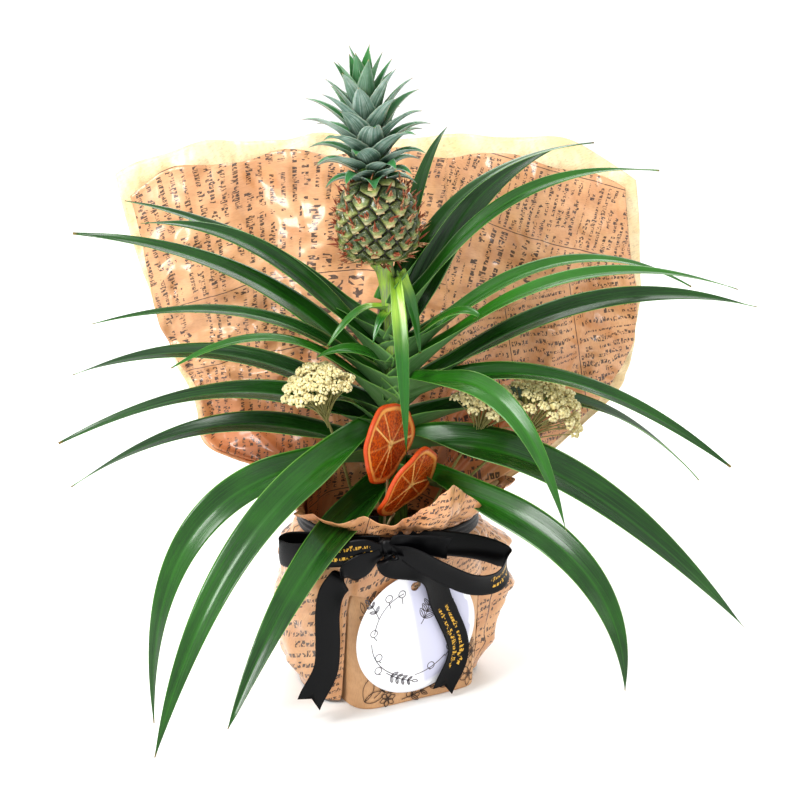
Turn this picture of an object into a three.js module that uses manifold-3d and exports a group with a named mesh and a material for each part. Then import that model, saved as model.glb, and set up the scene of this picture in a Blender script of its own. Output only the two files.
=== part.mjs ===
// A pineapple plant with one young fruit, in its nursery pot, gift wrapped in two
// flared sheets of kraft paper, with a ribbon, a round tag, dried orange slices and
// dried yarrow. Millimetres, +Z up, +Y to the back. The origin is the middle of the
// wrapped pot's base, on the surface that it stands on.

import * as THREE from 'three';
import { mergeVertices } from 'three/addons/utils/BufferGeometryUtils.js';
import Module from 'manifold-3d';

// ---- driving dimensions ----

const gap = 0.4;                 // left between any two pieces that touch

const potHeight = 130;           // nursery pot, foot to rim
const potRimRadius = 69;
const potFootRadius = 51;
const potWall = 1.6;
const soilBelowRim = 10;

const paper = 1.2;               // a crumpled double layer of kraft paper
const sleeveHeight = 118;        // square printed sleeve that the pot stands in
const sleeveFootHalf = 63;
const sleeveTopHalf = 72;
const sleeveTurn = 28;           // degrees, its front panel faces a little to the right

const bulgeRadius = 101;         // crumpled wrap round the pot
const neckRadius = 80;           // where the ribbon gathers the paper
const neckAboveRim = 30;
const collarRise = 40;           // highest point of the front collar above the neck
const collarLow = 12;

const sheetWidth = 492;          // outer back sheet, left corner to right corner
const sheetRise = 316;           // its top edge above the neck, in the middle
const sheetLean = 165;           // how far back its top edge stands
const sheetSpacing = 4.2;        // between the outer and the inner sheet
const sheetRows = 9;             // mesh rows from the tucked edge to the top edge
const tuckShare = 1 / sheetRows; // share of the sheet that stands upright in the neck
const flareHeight = 138;         // where the sheet bends outwards, above the neck
const flareDrop = 52;            // lower by this at its left and right edges

const ribbonWidth = 20;
const ribbonThickness = 0.8;
const knotSize = 13;
const tagRadius = 60;
const tagThickness = 1.0;
const tagHoleRadius = 4;
const tagHoleInset = 14;         // hole's centre from the tag's edge
const tagFootGap = 12;           // tag's lowest point above the floor
const tagAlong = -10;            // tag's centre along the front panel
const tagLift = 3;               // and in front of it
const twineRadius = 1.1;

const plantX = 5;                // the plant stands a little right of the pot's middle
const stemFootRadius = 14;
const stemTopRadius = 8;
const stemHeight = 180;          // above the soil
const peduncleRadius = 6;
const peduncleLength = 92;
const leafThickness = 1.2;

const fruitHeight = 77;
const fruitRadius = 38;
const fruitLean = 6;             // degrees, to the left
const crownHeight = 124;
const crownLeafWidth = 17;

const sliceRadius = 37;
const sliceThickness = 4;
const pickRadius = 1.2;
const yarrowStemRadius = 1.6;

// ---- heights that follow from them ----

const potFoot = paper + gap;
const rimZ = potFoot + potHeight;
const soilZ = rimZ - soilBelowRim;
const neckZ = rimZ + neckAboveRim;
const tagCentreZ = tagRadius + tagFootGap;
const stemTopZ = soilZ + gap + stemHeight;
const fruitZ = stemTopZ + gap + peduncleLength;
const bandRadius = neckRadius + 2;
const bandHalf = ribbonWidth / 2 + 1;
const neckBeyond = Math.max(neckRadius - sleeveTopHalf - 8, 0); // stands out past the tag

// ---- materials ----

function material(color, roughness) {
  return new THREE.MeshStandardMaterial({ color, roughness, metalness: 0 });
}

const leafGreen = material(0x1f5a24, 0.35);
const youngGreen = material(0x8fbf45, 0.45);
const kraft = material(0xb98a63, 0.7);
const creamPaper = material(0xe8cf98, 0.75);
const blackSatin = material(0x15151a, 0.4);

// ---- helpers ----

const group = new THREE.Group();

function add(name, geometry, look) {
  const mesh = new THREE.Mesh(geometry, look);
  mesh.name = name;
  group.add(mesh);
  return mesh;
}

const vec = (x, y, z) => new THREE.Vector3(x, y, z);
const rad = THREE.MathUtils.degToRad;
const mix = THREE.MathUtils.lerp;
const ease = THREE.MathUtils.smoothstep;

function heading(degrees) {
  return vec(Math.cos(rad(degrees)), Math.sin(rad(degrees)), 0);
}

function geometryFrom(points, faces) {
  const geometry = new THREE.BufferGeometry();
  geometry.setAttribute('position',
    new THREE.Float32BufferAttribute(points.flatMap((p) => [p.x, p.y, p.z]), 3));
  geometry.setIndex(faces);
  geometry.computeVertexNormals();
  return geometry;
}

// A closed body through rings of the same number of points. Each ring runs
// anticlockwise seen from the end of the body, and both ends are capped by a fan from
// the ring's second point, which suits a round, square or V-shaped ring. A flat body
// has its underside first in each ring: both sides then split along the same diagonals,
// so that a twisted blade keeps its thickness.
function loft(rings, flat = false) {
  const count = rings[0].length;
  const points = rings.flat();
  const faces = [];
  for (let i = 0; i < rings.length - 1; i++) {
    for (let j = 0; j < count; j++) {
      const a = i * count + j;
      const b = i * count + (j + 1) % count;
      if (flat && j >= count / 2) {
        faces.push(a, b, a + count, b, b + count, a + count);
      } else {
        faces.push(a, b, b + count, a, b + count, a + count);
      }
    }
  }
  const last = (rings.length - 1) * count;
  for (let j = 2; j < count; j++) {
    const next = (j + 1) % count;
    faces.push(1, next, j, last + 1, last + j, last + next);
  }
  return geometryFrom(points, faces);
}

// A strip of constant section: the side vector gives its width at each station.
function strip(stations, width, thickness) {
  return loft(stations.map(({ at, side }, i) => {
    const before = stations[Math.max(i - 1, 0)].at;
    const after = stations[Math.min(i + 1, stations.length - 1)].at;
    const along = after.clone().sub(before).normalize();
    const across = side.clone().addScaledVector(along, -side.dot(along)).normalize();
    const up = along.clone().cross(across);
    const corner = (w, t) => at.clone()
      .addScaledVector(across, w * width / 2).addScaledVector(up, t * thickness / 2);
    return [corner(-1, -1), corner(1, -1), corner(1, 1), corner(-1, 1)];
  }), true);
}

// A round rod through the points, with the radius at each of them.
function rod(points, radii, sides = 8) {
  return loft(points.map((at, i) => {
    const before = points[Math.max(i - 1, 0)];
    const after = points[Math.min(i + 1, points.length - 1)];
    const along = after.clone().sub(before).normalize();
    const ref = Math.abs(along.z) > 0.8 ? vec(1, 0, 0) : vec(0, 0, 1);
    const a = ref.clone().cross(along).normalize();
    const b = along.clone().cross(a);
    return Array.from({ length: sides }, (_, j) => {
      const turn = 2 * Math.PI * j / sides;
      return at.clone().addScaledVector(a, radii[i] * Math.cos(turn))
        .addScaledVector(b, radii[i] * Math.sin(turn));
    });
  }));
}

// A sheet of paper of the given thickness, from a surface of u (round) and v (up).
// A closed sheet joins itself where u comes round to 1.
function sheet(surface, nu, nv, thickness, closed) {
  const columns = closed ? nu : nu + 1;
  const step = 0.01;
  const wrapU = (u) => (closed ? u : Math.min(Math.max(u, 0), 1));
  const keep = (v) => Math.min(Math.max(v, 0), 1);
  const outer = [];
  const inner = [];
  for (let i = 0; i < columns; i++) {
    for (let j = 0; j <= nv; j++) {
      const u = i / nu;
      const v = j / nv;
      const du = surface(wrapU(u + step), v).sub(surface(wrapU(u - step), v));
      const dv = surface(u, keep(v + step)).sub(surface(u, keep(v - step)));
      const normal = du.cross(dv).normalize();
      const at = surface(u, v);
      outer.push(at.clone().addScaledVector(normal, thickness / 2));
      inner.push(at.clone().addScaledVector(normal, -thickness / 2));
    }
  }
  const rows = nv + 1;
  const size = columns * rows;
  const faces = [];
  const quad = (a, b, c, d) => faces.push(a, b, c, a, c, d);
  for (let i = 0; i < nu; i++) {
    const here = i * rows;
    const next = ((i + 1) % columns) * rows;
    for (let j = 0; j < nv; j++) {
      quad(here + j, next + j, next + j + 1, here + j + 1);
      quad(size + here + j, size + here + j + 1, size + next + j + 1, size + next + j);
    }
    quad(here, size + here, size + next, next);
    quad(here + nv, next + nv, size + next + nv, size + here + nv);
  }
  if (!closed) {
    const far = nu * rows;
    for (let j = 0; j < nv; j++) {
      quad(j, j + 1, size + j + 1, size + j);
      quad(far + j, size + far + j, size + far + j + 1, far + j + 1);
    }
  }
  return geometryFrom([...outer, ...inner], faces);
}

const wasm = await Module();
wasm.setup();

function solidOf(geometry) {
  const bare = geometry.clone();
  bare.deleteAttribute('normal');
  bare.deleteAttribute('uv');
  const merged = mergeVertices(bare);
  return new wasm.Manifold(new wasm.Mesh({
    numProp: 3,
    vertProperties: new Float32Array(merged.attributes.position.array),
    triVerts: new Uint32Array(merged.index.array),
  }));
}

function geometryOf(solid) {
  const { vertProperties, triVerts } = solid.getMesh();
  const geometry = new THREE.BufferGeometry();
  geometry.setAttribute('position', new THREE.BufferAttribute(vertProperties, 3));
  geometry.setIndex(new THREE.BufferAttribute(triVerts, 1));
  geometry.computeVertexNormals();
  return geometry;
}

// ---- pot and soil ----

function makePot() {
  const rimHeight = 12;
  const rimStep = 2;
  const outer = [
    [0, 0], [potFootRadius, 0],
    [potRimRadius - rimStep, potHeight - rimHeight], [potRimRadius, potHeight - rimHeight],
    [potRimRadius, potHeight],
  ];
  const inner = [
    [potRimRadius - potWall, potHeight],
    [potRimRadius - rimStep - potWall, potHeight - rimHeight],
    [potFootRadius - potWall, potWall], [0, potWall],
  ];
  const profile = [...outer, ...inner].map(([r, z]) => new THREE.Vector2(r, z));
  const pot = add('nursery_pot', new THREE.LatheGeometry(profile, 28), material(0x2a2a2c, 0.55));
  pot.rotation.x = Math.PI / 2;
  pot.position.z = potFoot;
}

function makeSoil() {
  const floor = potWall + gap;
  const topRadius = mix(potFootRadius, potRimRadius - 2, (potHeight - soilBelowRim) / (potHeight - 12));
  const profile = [
    [0, floor], [potFootRadius - potWall - 2 * gap, floor],
    [Math.min(topRadius, potRimRadius - 2) - potWall - 2 * gap, potHeight - soilBelowRim],
    [0, potHeight - soilBelowRim],
  ].map(([r, z]) => new THREE.Vector2(r, z));
  const soil = add('potting_soil', new THREE.LatheGeometry(profile, 28), material(0x3b2a1e, 0.95));
  soil.rotation.x = Math.PI / 2;
  soil.position.z = potFoot;
}

// ---- stem, long leaves, fruit stalk ----

function stemRadiusAt(z) {
  return mix(stemFootRadius, stemTopRadius, Math.min(Math.max((z - soilZ) / stemHeight, 0), 1));
}

function makeStem() {
  const steps = [0, 0.33, 0.66, 1];
  const points = steps.map((s) => vec(plantX, 0, soilZ + gap + s * stemHeight));
  add('plant_stem', rod(points, points.map((p) => stemRadiusAt(p.z)), 12), material(0x6d8a3a, 0.6));
}

// Each leaf is a parabolic arc in its own upright plane: it leaves the stem at root,
// rises towards knee and ends at tip. root is a height above the soil, knee and tip are
// [reach from the stem, height above the soil]. roll turns the blade about its midrib,
// in degrees, fully from a third of the way out.
const longLeaves = [
  { name: 'leaf_left_1', turn: 165, root: 190, knee: [116, 300], tip: [252, 315], width: 14, roll: -20 },
  { name: 'leaf_left_2', turn: 180, root: 166, knee: [98, 316], tip: [221, 308], width: 18, roll: -20 },
  { name: 'leaf_left_3', turn: 170, root: 140, knee: [90, 280], tip: [294, 288], width: 26, roll: -25 },
  { name: 'leaf_left_4', turn: 191, root: 146, knee: [92, 266], tip: [264, 230], width: 21, roll: -20 },
  { name: 'leaf_left_5', turn: 204, root: 130, knee: [87, 256], tip: [206, 200], width: 20, roll: -20 },
  { name: 'leaf_left_6', turn: 166, root: 118, knee: [140, 220], tip: [310, 148], width: 26, roll: -25 },
  { name: 'leaf_left_7', turn: 184, root: 104, knee: [110, 205], tip: [300, 112], width: 27, roll: -25 },
  { name: 'leaf_left_8', turn: 175, root: 84, knee: [140, 168], tip: [300, 54], width: 26, roll: -25 },
  { name: 'leaf_front_left_1', turn: 211, root: 88, knee: [250, 148], tip: [244, -111], width: 30, roll: -35 },
  { name: 'leaf_front_left_2', turn: 225, root: 118, knee: [200, 113], tip: [282, -106], width: 33, roll: -30 },
  { name: 'leaf_front_left_3', turn: 239, root: 64, knee: [neckRadius + 65, 70],
    tip: [neckRadius + 185, -71], width: 31, roll: -25 },
  { name: 'leaf_back_right_1', turn: 67, root: 204, knee: [32, 343], tip: [126, 374], width: 14, roll: 0 },
  { name: 'leaf_back_right_2', turn: 28, root: 234, knee: [50, 363], tip: [208, 363], width: 15, roll: 15 },
  { name: 'leaf_back_right_3', turn: 44, root: 176, knee: [58, 334], tip: [214, 350], width: 28, roll: 35 },
  { name: 'leaf_right_4', turn: 16, root: 200, knee: [75, 365], tip: [250, 342], width: 17, roll: 20 },
  { name: 'leaf_right_5', turn: 8, root: 172, knee: [134, 322], tip: [272, 242], width: 19, roll: 20 },
  { name: 'leaf_right_6', turn: 355, root: 156, knee: [130, 309], tip: [301, 255], width: 19, roll: 20 },
  { name: 'leaf_right_7', turn: 3, root: 134, knee: [148, 276], tip: [326, 228], width: 26, roll: 25 },
  { name: 'leaf_right_8', turn: 335, root: 186, knee: [62, 253], tip: [85, 231], width: 13, roll: 20 },
  { name: 'leaf_right_9', turn: 347, root: 142, knee: [132, 228], tip: [302, 106], width: 26, roll: 25 },
  { name: 'leaf_right_10', turn: 18, root: 112, knee: [176, 186], tip: [310, 36], width: 26, roll: 20 },
  { name: 'leaf_front_right_1', turn: 312, root: 150, knee: [150, 240], tip: [215, 81], width: 22, roll: 30 },
  { name: 'leaf_front_right_2', turn: 336, root: 98, knee: [145, 156], tip: [330, -17], width: 40, roll: 28 },
  { name: 'leaf_front_right_3', turn: 320, root: 74, knee: [252, 90], tip: [257, -61], width: 31, roll: 35 },
  { name: 'leaf_inner_left', turn: 216, root: 172, knee: [36, 212], tip: [82, 200], width: 14, roll: -20 },
  { name: 'leaf_inner_low', turn: 201, root: 108, knee: [34, 156], tip: [58, 152], width: 13, roll: -10 },
  { name: 'leaf_inner_back', turn: 100, root: 148, knee: [14, 208], tip: [32, 263], width: 16, roll: 0 },
];

// Ribbon-like blade with a shallow V gutter: narrow where it clasps the stem, widest
// about a third of the way out, then a long taper to a point.
function blade(leaf, steps, baseWidth) {
  const rootZ = soilZ + leaf.root;
  const root = [stemRadiusAt(rootZ) + baseWidth * 0.45, leaf.root];
  const fold = rad(24);
  const centre = (s) => {
    const a = (1 - s) * (1 - s);
    const b = 2 * s * (1 - s);
    const reach = a * root[0] + b * leaf.knee[0] + s * s * leaf.tip[0];
    const height = a * root[1] + b * leaf.knee[1] + s * s * leaf.tip[1];
    return heading(leaf.turn).multiplyScalar(reach).add(vec(plantX, 0, soilZ + height));
  };
  const rings = [];
  for (let i = 0; i <= steps; i++) {
    const s = i / steps;
    const at = centre(s);
    const along = centre(Math.min(s + 0.01, 1)).sub(centre(Math.max(s - 0.01, 0))).normalize();
    const side = vec(0, 0, 1).cross(heading(leaf.turn))
      .applyAxisAngle(along, rad(leaf.roll) * ease(s, 0, 0.35));
    const up = along.clone().cross(side);
    const full = mix(baseWidth, leaf.width, ease(s, 0, 0.3));
    const half = Math.max(full * (1 - s ** 2.6), 2.6) / 2;
    const thin = leafThickness * mix(1, 0.75, s) / 2;
    const edge = (sign, lift) => at.clone()
      .addScaledVector(side, sign * half * Math.cos(fold))
      .addScaledVector(up, half * Math.sin(fold) + lift);
    const mid = (lift) => at.clone().addScaledVector(up, lift);
    rings.push([edge(-1, thin * 0.6), mid(thin), edge(1, thin * 0.6),
      edge(1, -thin * 0.6), mid(-thin), edge(-1, -thin * 0.6)].reverse());
  }
  return loft(rings, true);
}

function makeLongLeaves() {
  for (const leaf of longLeaves) {
    add(leaf.name, blade(leaf, 12, 6), leafGreen);
  }
}

function fruitBase() {
  return vec(plantX - 10, 0, fruitZ);
}

function makePeduncle() {
  const from = vec(plantX, 0, stemTopZ + gap);
  const to = fruitBase();
  const bendAt = vec(plantX, 0, mix(from.z, to.z, 0.5));
  const points = new THREE.QuadraticBezierCurve3(from, bendAt, to).getPoints(5);
  points[points.length - 1].z -= gap + peduncleRadius * Math.sin(rad(fruitLean));
  add('fruit_stalk', rod(points, points.map(() => peduncleRadius), 10), youngGreen);
}

// Narrow leaves on the fruit stalk, just below the fruit.
const bracts = [
  { name: 'stalk_leaf_front', turn: 280, root: 250, knee: [60, 205], tip: [70, 116], width: 10, roll: 0 },
  { name: 'stalk_leaf_left', turn: 206, root: 222, knee: [28, 246], tip: [64, 204], width: 10, roll: 0 },
  { name: 'stalk_leaf_left_thin', turn: 236, root: 228, knee: [20, 234], tip: [32, 206], width: 7, roll: 0 },
  { name: 'stalk_leaf_right', turn: 318, root: 262, knee: [22, 250], tip: [32, 196], width: 9, roll: 0 },
];

function makeBracts() {
  for (const bract of bracts) {
    add(bract.name, blade(bract, 10, 3), youngGreen);
  }
}

// ---- fruit and its crown ----

// The fruit's own frame: z runs up its leaning axis from its base.
function placeOnFruit(mesh) {
  mesh.rotation.y = -rad(fruitLean);
  mesh.position.copy(fruitBase());
}

function makeFruit() {
  const stations = [0, 0.08, 0.22, 0.45, 0.7, 0.88, 1];
  const share = [0.5, 0.78, 0.95, 1, 0.9, 0.7, 0.45];
  const rings = stations.map((s, i) => Array.from({ length: 20 }, (_, j) => {
    const turn = 2 * Math.PI * j / 20;
    const r = fruitRadius * share[i];
    return vec(r * Math.cos(turn), r * Math.sin(turn), s * fruitHeight);
  }));
  placeOnFruit(add('pineapple_fruit', loft(rings), material(0x4f6b34, 0.6)));
}

// The crown's leaves stand in a spiral on a short core: the lowest spread out level,
// the highest stand upright.
function makeCrown() {
  const leafCount = 30;
  const goldenAngle = 137.5;
  const coreHeight = crownHeight * 0.69;
  const coreRadius = fruitRadius * 0.36;
  const coreAt = (s) => vec(0, 0, fruitHeight + gap + s * coreHeight);
  const stations = [0, 0.5, 1];
  let crown = solidOf(rod(stations.map(coreAt), [coreRadius, coreRadius * 0.8, 2], 12));
  for (let i = 0; i < leafCount; i++) {
    const s = i / (leafCount - 1);
    const rise = rad(mix(6, 80, s ** 0.8));
    const length = mix(60, 40, s);
    const out = heading(i * goldenAngle);
    const from = coreAt(mix(0.06, 0.9, s)).addScaledVector(out, coreRadius * (1 - s) * 0.5);
    const stationCount = 3;
    const points = Array.from({ length: stationCount + 1 }, (_, k) => {
      const t = k / stationCount;
      const climb = Math.sin(rise) + 0.35 * (1 - s) * t * (1 - 1.4 * t);
      return from.clone().addScaledVector(out, length * t * Math.cos(rise))
        .add(vec(0, 0, length * t * climb));
    });
    const rings = points.map((at, k) => {
      const t = k / stationCount;
      const half = crownLeafWidth / 2 * mix(1, 0.6, s) * Math.max(1 - t ** 1.8, 0.06);
      const side = vec(0, 0, 1).cross(out);
      const up = out.clone().multiplyScalar(-Math.sin(rise)).add(vec(0, 0, Math.cos(rise)));
      const thin = mix(1.4, 0.5, t);
      return [
        at.clone().addScaledVector(side, -half).addScaledVector(up, half * 0.35),
        at.clone().addScaledVector(up, -thin),
        at.clone().addScaledVector(side, half).addScaledVector(up, half * 0.35),
        at.clone().addScaledVector(up, thin),
      ];
    });
    crown = crown.add(solidOf(loft(rings)));
  }
  placeOnFruit(add('fruit_crown', geometryOf(crown), material(0x5f8272, 0.5)));
}

// ---- paper ----

// Distance from the middle to the side of a square with rounded corners.
function roundedSquare(half, angle, power) {
  const a = Math.abs(Math.cos(angle - rad(sleeveTurn)));
  const b = Math.abs(Math.sin(angle - rad(sleeveTurn)));
  return half / (a ** power + b ** power) ** (1 / power);
}

function sleeveHalf(z) {
  return mix(sleeveFootHalf, sleeveTopHalf, z / sleeveHeight);
}

function makeSleeve() {
  const sides = 40;
  const ring = (z, inset) => Array.from({ length: sides }, (_, j) => {
    const turn = 2 * Math.PI * j / sides;
    const r = roundedSquare(sleeveHalf(z), turn, mix(7, 4, z / sleeveHeight)) - inset;
    return vec(r * Math.cos(turn), r * Math.sin(turn), z);
  });
  const rings = [ring(0, 0), ring(sleeveHeight, 0), ring(sleeveHeight, paper), ring(paper, paper)];
  add('printed_sleeve', loft(rings), kraft);
}

// 1 across the front panel, 0 round the sides and the back.
function frontShare(turn) {
  const off = Math.abs(((turn - (sleeveTurn - 90) + 540) % 360) - 180);
  return 1 - ease(off, 50, 62);
}

// The wrap swells from the floor to the sleeve's top, then narrows to the ribbon.
function wrapRadius(turn, z) {
  const shoulder = mix(sleeveHeight, neckZ - bandHalf, 0.12);
  const heights = [0, sleeveHeight * 0.3, sleeveHeight * 0.76, shoulder,
    neckZ - bandHalf, neckZ + bandHalf, neckZ + collarRise];
  const shoulderRadius = Math.max(bulgeRadius - 4, neckRadius + 2);
  const radii = [84, 93, bulgeRadius, shoulderRadius, neckRadius, neckRadius, neckRadius + 15];
  let k = 0;
  while (k < heights.length - 2 && z > heights[k + 1]) k++;
  const s = ease(z, heights[k], heights[k + 1]);
  const sideways = 1 + 0.06 * Math.cos(rad(turn)) * ease(z, 0, heights[2])
    * (1 - ease(z, shoulder, neckZ - bandHalf));
  return mix(radii[k], radii[k + 1], s) * sideways;
}

function collarTop(turn) {
  const peak = Math.exp(-(((turn - 298) / 14) ** 2));
  return neckZ + collarLow + (collarRise - collarLow) * peak;
}

function makeWrap() {
  const liftedEdge = mix(sleeveHeight, neckZ - bandHalf, 0.67);
  const rows = 9;
  const bandFrom = 6 / rows;
  const bandTo = 7 / rows;
  const surface = (u, v) => {
    const turn = ((u * 360) + 720) % 360;
    const low = mix(3, liftedEdge, frontShare(turn));
    const z = v < bandFrom ? mix(low, neckZ - bandHalf, v / bandFrom)
      : v < bandTo ? mix(neckZ - bandHalf, neckZ + bandHalf, (v - bandFrom) / (bandTo - bandFrom))
        : mix(neckZ + bandHalf, collarTop(turn), (v - bandTo) / (1 - bandTo));
    return heading(turn).multiplyScalar(wrapRadius(turn, z)).setZ(z);
  };
  add('newsprint_wrap', sheet(surface, 36, rows, paper, true), kraft);
}

// The back sheets are tucked upright inside the neck, then flare up and back like a fan.
function fan(u, v) {
  const tuckLow = rimZ + 5;
  const tuckTop = neckZ + 16;
  const side = 2 * u - 1;
  const square = side * side;
  const foot = heading(mix(184, -4, u)).multiplyScalar(neckRadius - paper - gap - 2);
  if (v < tuckShare) {
    return foot.setZ(mix(tuckLow, tuckTop, v / tuckShare));
  }
  foot.setZ(tuckTop);
  const knee = vec(22 + side * sheetWidth * 0.476, 105 + 15 * square,
    neckZ + flareHeight - flareDrop * square);
  const top = vec(-12 + side * sheetWidth / 2, sheetLean + 10 - 30 * square,
    neckZ + sheetRise - 35 * square ** 3);
  return new THREE.CubicBezierCurve3(foot, knee, knee, top)
    .getPoint((v - tuckShare) / (1 - tuckShare));
}

// The inner sheet lies in front of the outer one and is a little smaller.
function innerFan(u, v) {
  const step = 0.01;
  const a = mix(0.02, 0.98, u);
  const b = v < tuckShare ? v : mix(tuckShare, 0.95, (v - tuckShare) / (1 - tuckShare));
  const du = fan(a + step, b).sub(fan(a - step, b));
  const dv = fan(a, b + step).sub(fan(a, Math.max(b - step, 0)));
  return fan(a, b).addScaledVector(du.cross(dv).normalize(), sheetSpacing);
}

function makeBackSheets() {
  add('back_sheet_outer', sheet(fan, 16, sheetRows, paper, false), creamPaper);
  add('back_sheet_inner', sheet(innerFan, 16, sheetRows, paper, false), kraft);
}

// ---- ribbon, tag and twine ----

function makeBand() {
  const half = ribbonWidth / 2;
  const profile = [
    [bandRadius, -half], [bandRadius + ribbonThickness, -half],
    [bandRadius + ribbonThickness, half], [bandRadius, half], [bandRadius, -half],
  ].map(([r, z]) => new THREE.Vector2(r, z));
  const band = add('ribbon_band', new THREE.LatheGeometry(profile, 36), blackSatin);
  band.rotation.x = Math.PI / 2;
  band.position.z = neckZ;
}

function knotCentre() {
  return vec(0, -(bandRadius + ribbonThickness + gap + knotSize / 2), neckZ);
}

function makeKnot() {
  const knot = add('ribbon_knot', new THREE.SphereGeometry(knotSize / 2, 12, 8), blackSatin);
  knot.scale.set(1.3, 0.95, 1.3);
  knot.position.copy(knotCentre());
}

// Points of a ribbon part, measured from the knot's centre, with the way its width runs.
const ribbonParts = {
  ribbon_loop_left: [
    [[-10, -3, 0], [0, 0.2, 1]], [[-42, 0, -3], [0, 0.2, 1]], [[-76, 12, -8], [0, 0.1, 1]],
    [[-92, 26, -16], [0, 0, 1]], [[-88, 36, -18], [0, 0, 1]],
  ],
  ribbon_loop_right: [
    [[12, -2, 3], [0.2, -0.3, 1]], [[48, -8, -7], [0.3, -0.4, 1]], [[84, -6, -22], [0.2, -0.3, 1]],
    [[104, 6, -27], [0, 0, 1]], [[104, 26, -22], [0, 0, 1]], [[94, 36, -14], [0, 0, 1]],
  ],
  ribbon_tail_left: [
    [[-9, -7, -7], [0.6, 0, 1]], [[-30, -12, -18], [0.5, 0, 1]], [[-46, -14, -31], [1, 0, 0.6]],
    [[-52, -15, -50], [1, -0.2, 0]], [[-52, -16, -80], [1, -0.2, 0]],
    [[-54, -17, -108], [1, -0.2, 0.1]], [[-66, -18, -132], [1, -0.1, 0.4]],
  ],
};

function makeRibbons() {
  for (const [name, points] of Object.entries(ribbonParts)) {
    const stations = points.map(([p, side]) => ({
      at: vec(...p).add(knotCentre()), side: vec(...side),
    }));
    add(name, strip(stations, ribbonWidth, ribbonThickness), blackSatin);
  }
}

// A point on the sleeve's front panel: along it, up it, and lifted off it.
function onPanel(along, z, lift) {
  const face = heading(sleeveTurn - 90);
  const across = heading(sleeveTurn);
  return face.multiplyScalar(sleeveHalf(z) + lift).addScaledVector(across, along).setZ(z);
}

// The right tail hangs from the knot and lies across the tag.
function makeRightTail() {
  const start = knotCentre().add(vec(0, -13, -11));
  const side = heading(sleeveTurn);
  const stations = [
    { at: start, side: side.clone().add(vec(0, 0, 1)) },
    { at: onPanel(-8, tagCentreZ + tagRadius + 2, 16 + neckBeyond * 2), side: side.clone().add(vec(0, 0, 0.7)) },
    { at: onPanel(12, tagCentreZ + tagRadius * 13 / 30, 9), side: side.clone().add(vec(0, 0, 0.4)) },
    { at: onPanel(30, tagCentreZ - tagRadius / 4, 8), side },
    { at: onPanel(29, tagCentreZ - tagRadius * 0.7, 8), side: side.clone().add(vec(0, 0, -0.3)) },
    { at: onPanel(18, tagFootGap - 2, 9), side: side.clone().add(vec(0, 0, -0.5)) },
  ];
  add('ribbon_tail_right', strip(stations, ribbonWidth, ribbonThickness), blackSatin);
}

function tagHoleAlong() {
  return tagAlong - 3;
}

function makeTag() {
  const outline = new THREE.Shape();
  outline.absarc(0, 0, tagRadius, 0, 2 * Math.PI, false);
  const hole = new THREE.Path();
  hole.absarc(tagHoleAlong() - tagAlong, tagRadius - tagHoleInset, tagHoleRadius, 0, 2 * Math.PI, true);
  outline.holes.push(hole);
  const geometry = new THREE.ExtrudeGeometry(outline, {
    depth: tagThickness, bevelEnabled: false, curveSegments: 24,
  });
  const tag = add('round_tag', geometry, material(0xf6f6f8, 0.5));
  const lean = Math.atan2(sleeveTopHalf - sleeveFootHalf, sleeveHeight);
  tag.rotation.set(Math.PI / 2 + lean, 0, rad(sleeveTurn), 'ZXY');
  tag.position.copy(onPanel(tagAlong, tagCentreZ, tagLift));
}

function makeTwine() {
  const holeZ = tagCentreZ + tagRadius - tagHoleInset;
  const from = onPanel(tagHoleAlong(), holeZ, tagLift + 2.6);
  const to = knotCentre().add(vec(0, -knotSize * 0.2, -knotSize * 0.7 - gap - twineRadius));
  const points = [from, onPanel(tagHoleAlong(), holeZ + 6, tagLift + 5 + neckBeyond), to];
  add('tag_twine', rod(points, points.map(() => twineRadius), 6), material(0x8d7658, 0.9));
}

// ---- dried orange slices and yarrow ----

// A disc of dried orange on a thin pick that goes down among the leaves.
function makeSlice(name, centre, normal, pickName, pickFoot) {
  const slice = add(name, new THREE.CylinderGeometry(sliceRadius, sliceRadius, sliceThickness, 28),
    material(0xd5762c, 0.55));
  slice.quaternion.setFromUnitVectors(vec(0, 1, 0), normal);
  slice.position.copy(centre);
  const down = pickFoot.clone().sub(centre);
  const inPlane = down.addScaledVector(normal, -down.dot(normal)).normalize();
  const top = centre.clone().addScaledVector(inPlane, sliceRadius + gap + pickRadius);
  add(pickName, rod([top, pickFoot], [pickRadius, pickRadius], 6), material(0xb9a27c, 0.8));
}

function makeSlices() {
  makeSlice('orange_slice_upper', vec(1, -58, neckZ + 84),
    vec(0.828, -0.552, -0.096).normalize(), 'slice_pick_upper', vec(-6, -42, soilZ + 6));
  makeSlice('orange_slice_lower', vec(19, -63, neckZ + 49),
    vec(0.731, -0.505, -0.453).normalize(), 'slice_pick_lower', vec(-2, -50, soilZ + 6));
}

// Flat-topped heads of dried yarrow, each on its own stem from the soil. at is the
// head's middle, with its height measured from the neck, and foot is [x, y] on the soil.
const yarrowHeads = [
  { name: 'yarrow_left', at: [-61, -32, 123], radius: 30, depth: 0.7, height: 30, foot: [-26, -4] },
  { name: 'yarrow_right_front', at: [91, -4, 96], radius: 28, depth: 0.7, height: 28, foot: [34, -8] },
  { name: 'yarrow_right_back', at: [143, 6, 89], radius: 34, depth: 0.6, height: 34, foot: [40, 4] },
];

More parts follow.
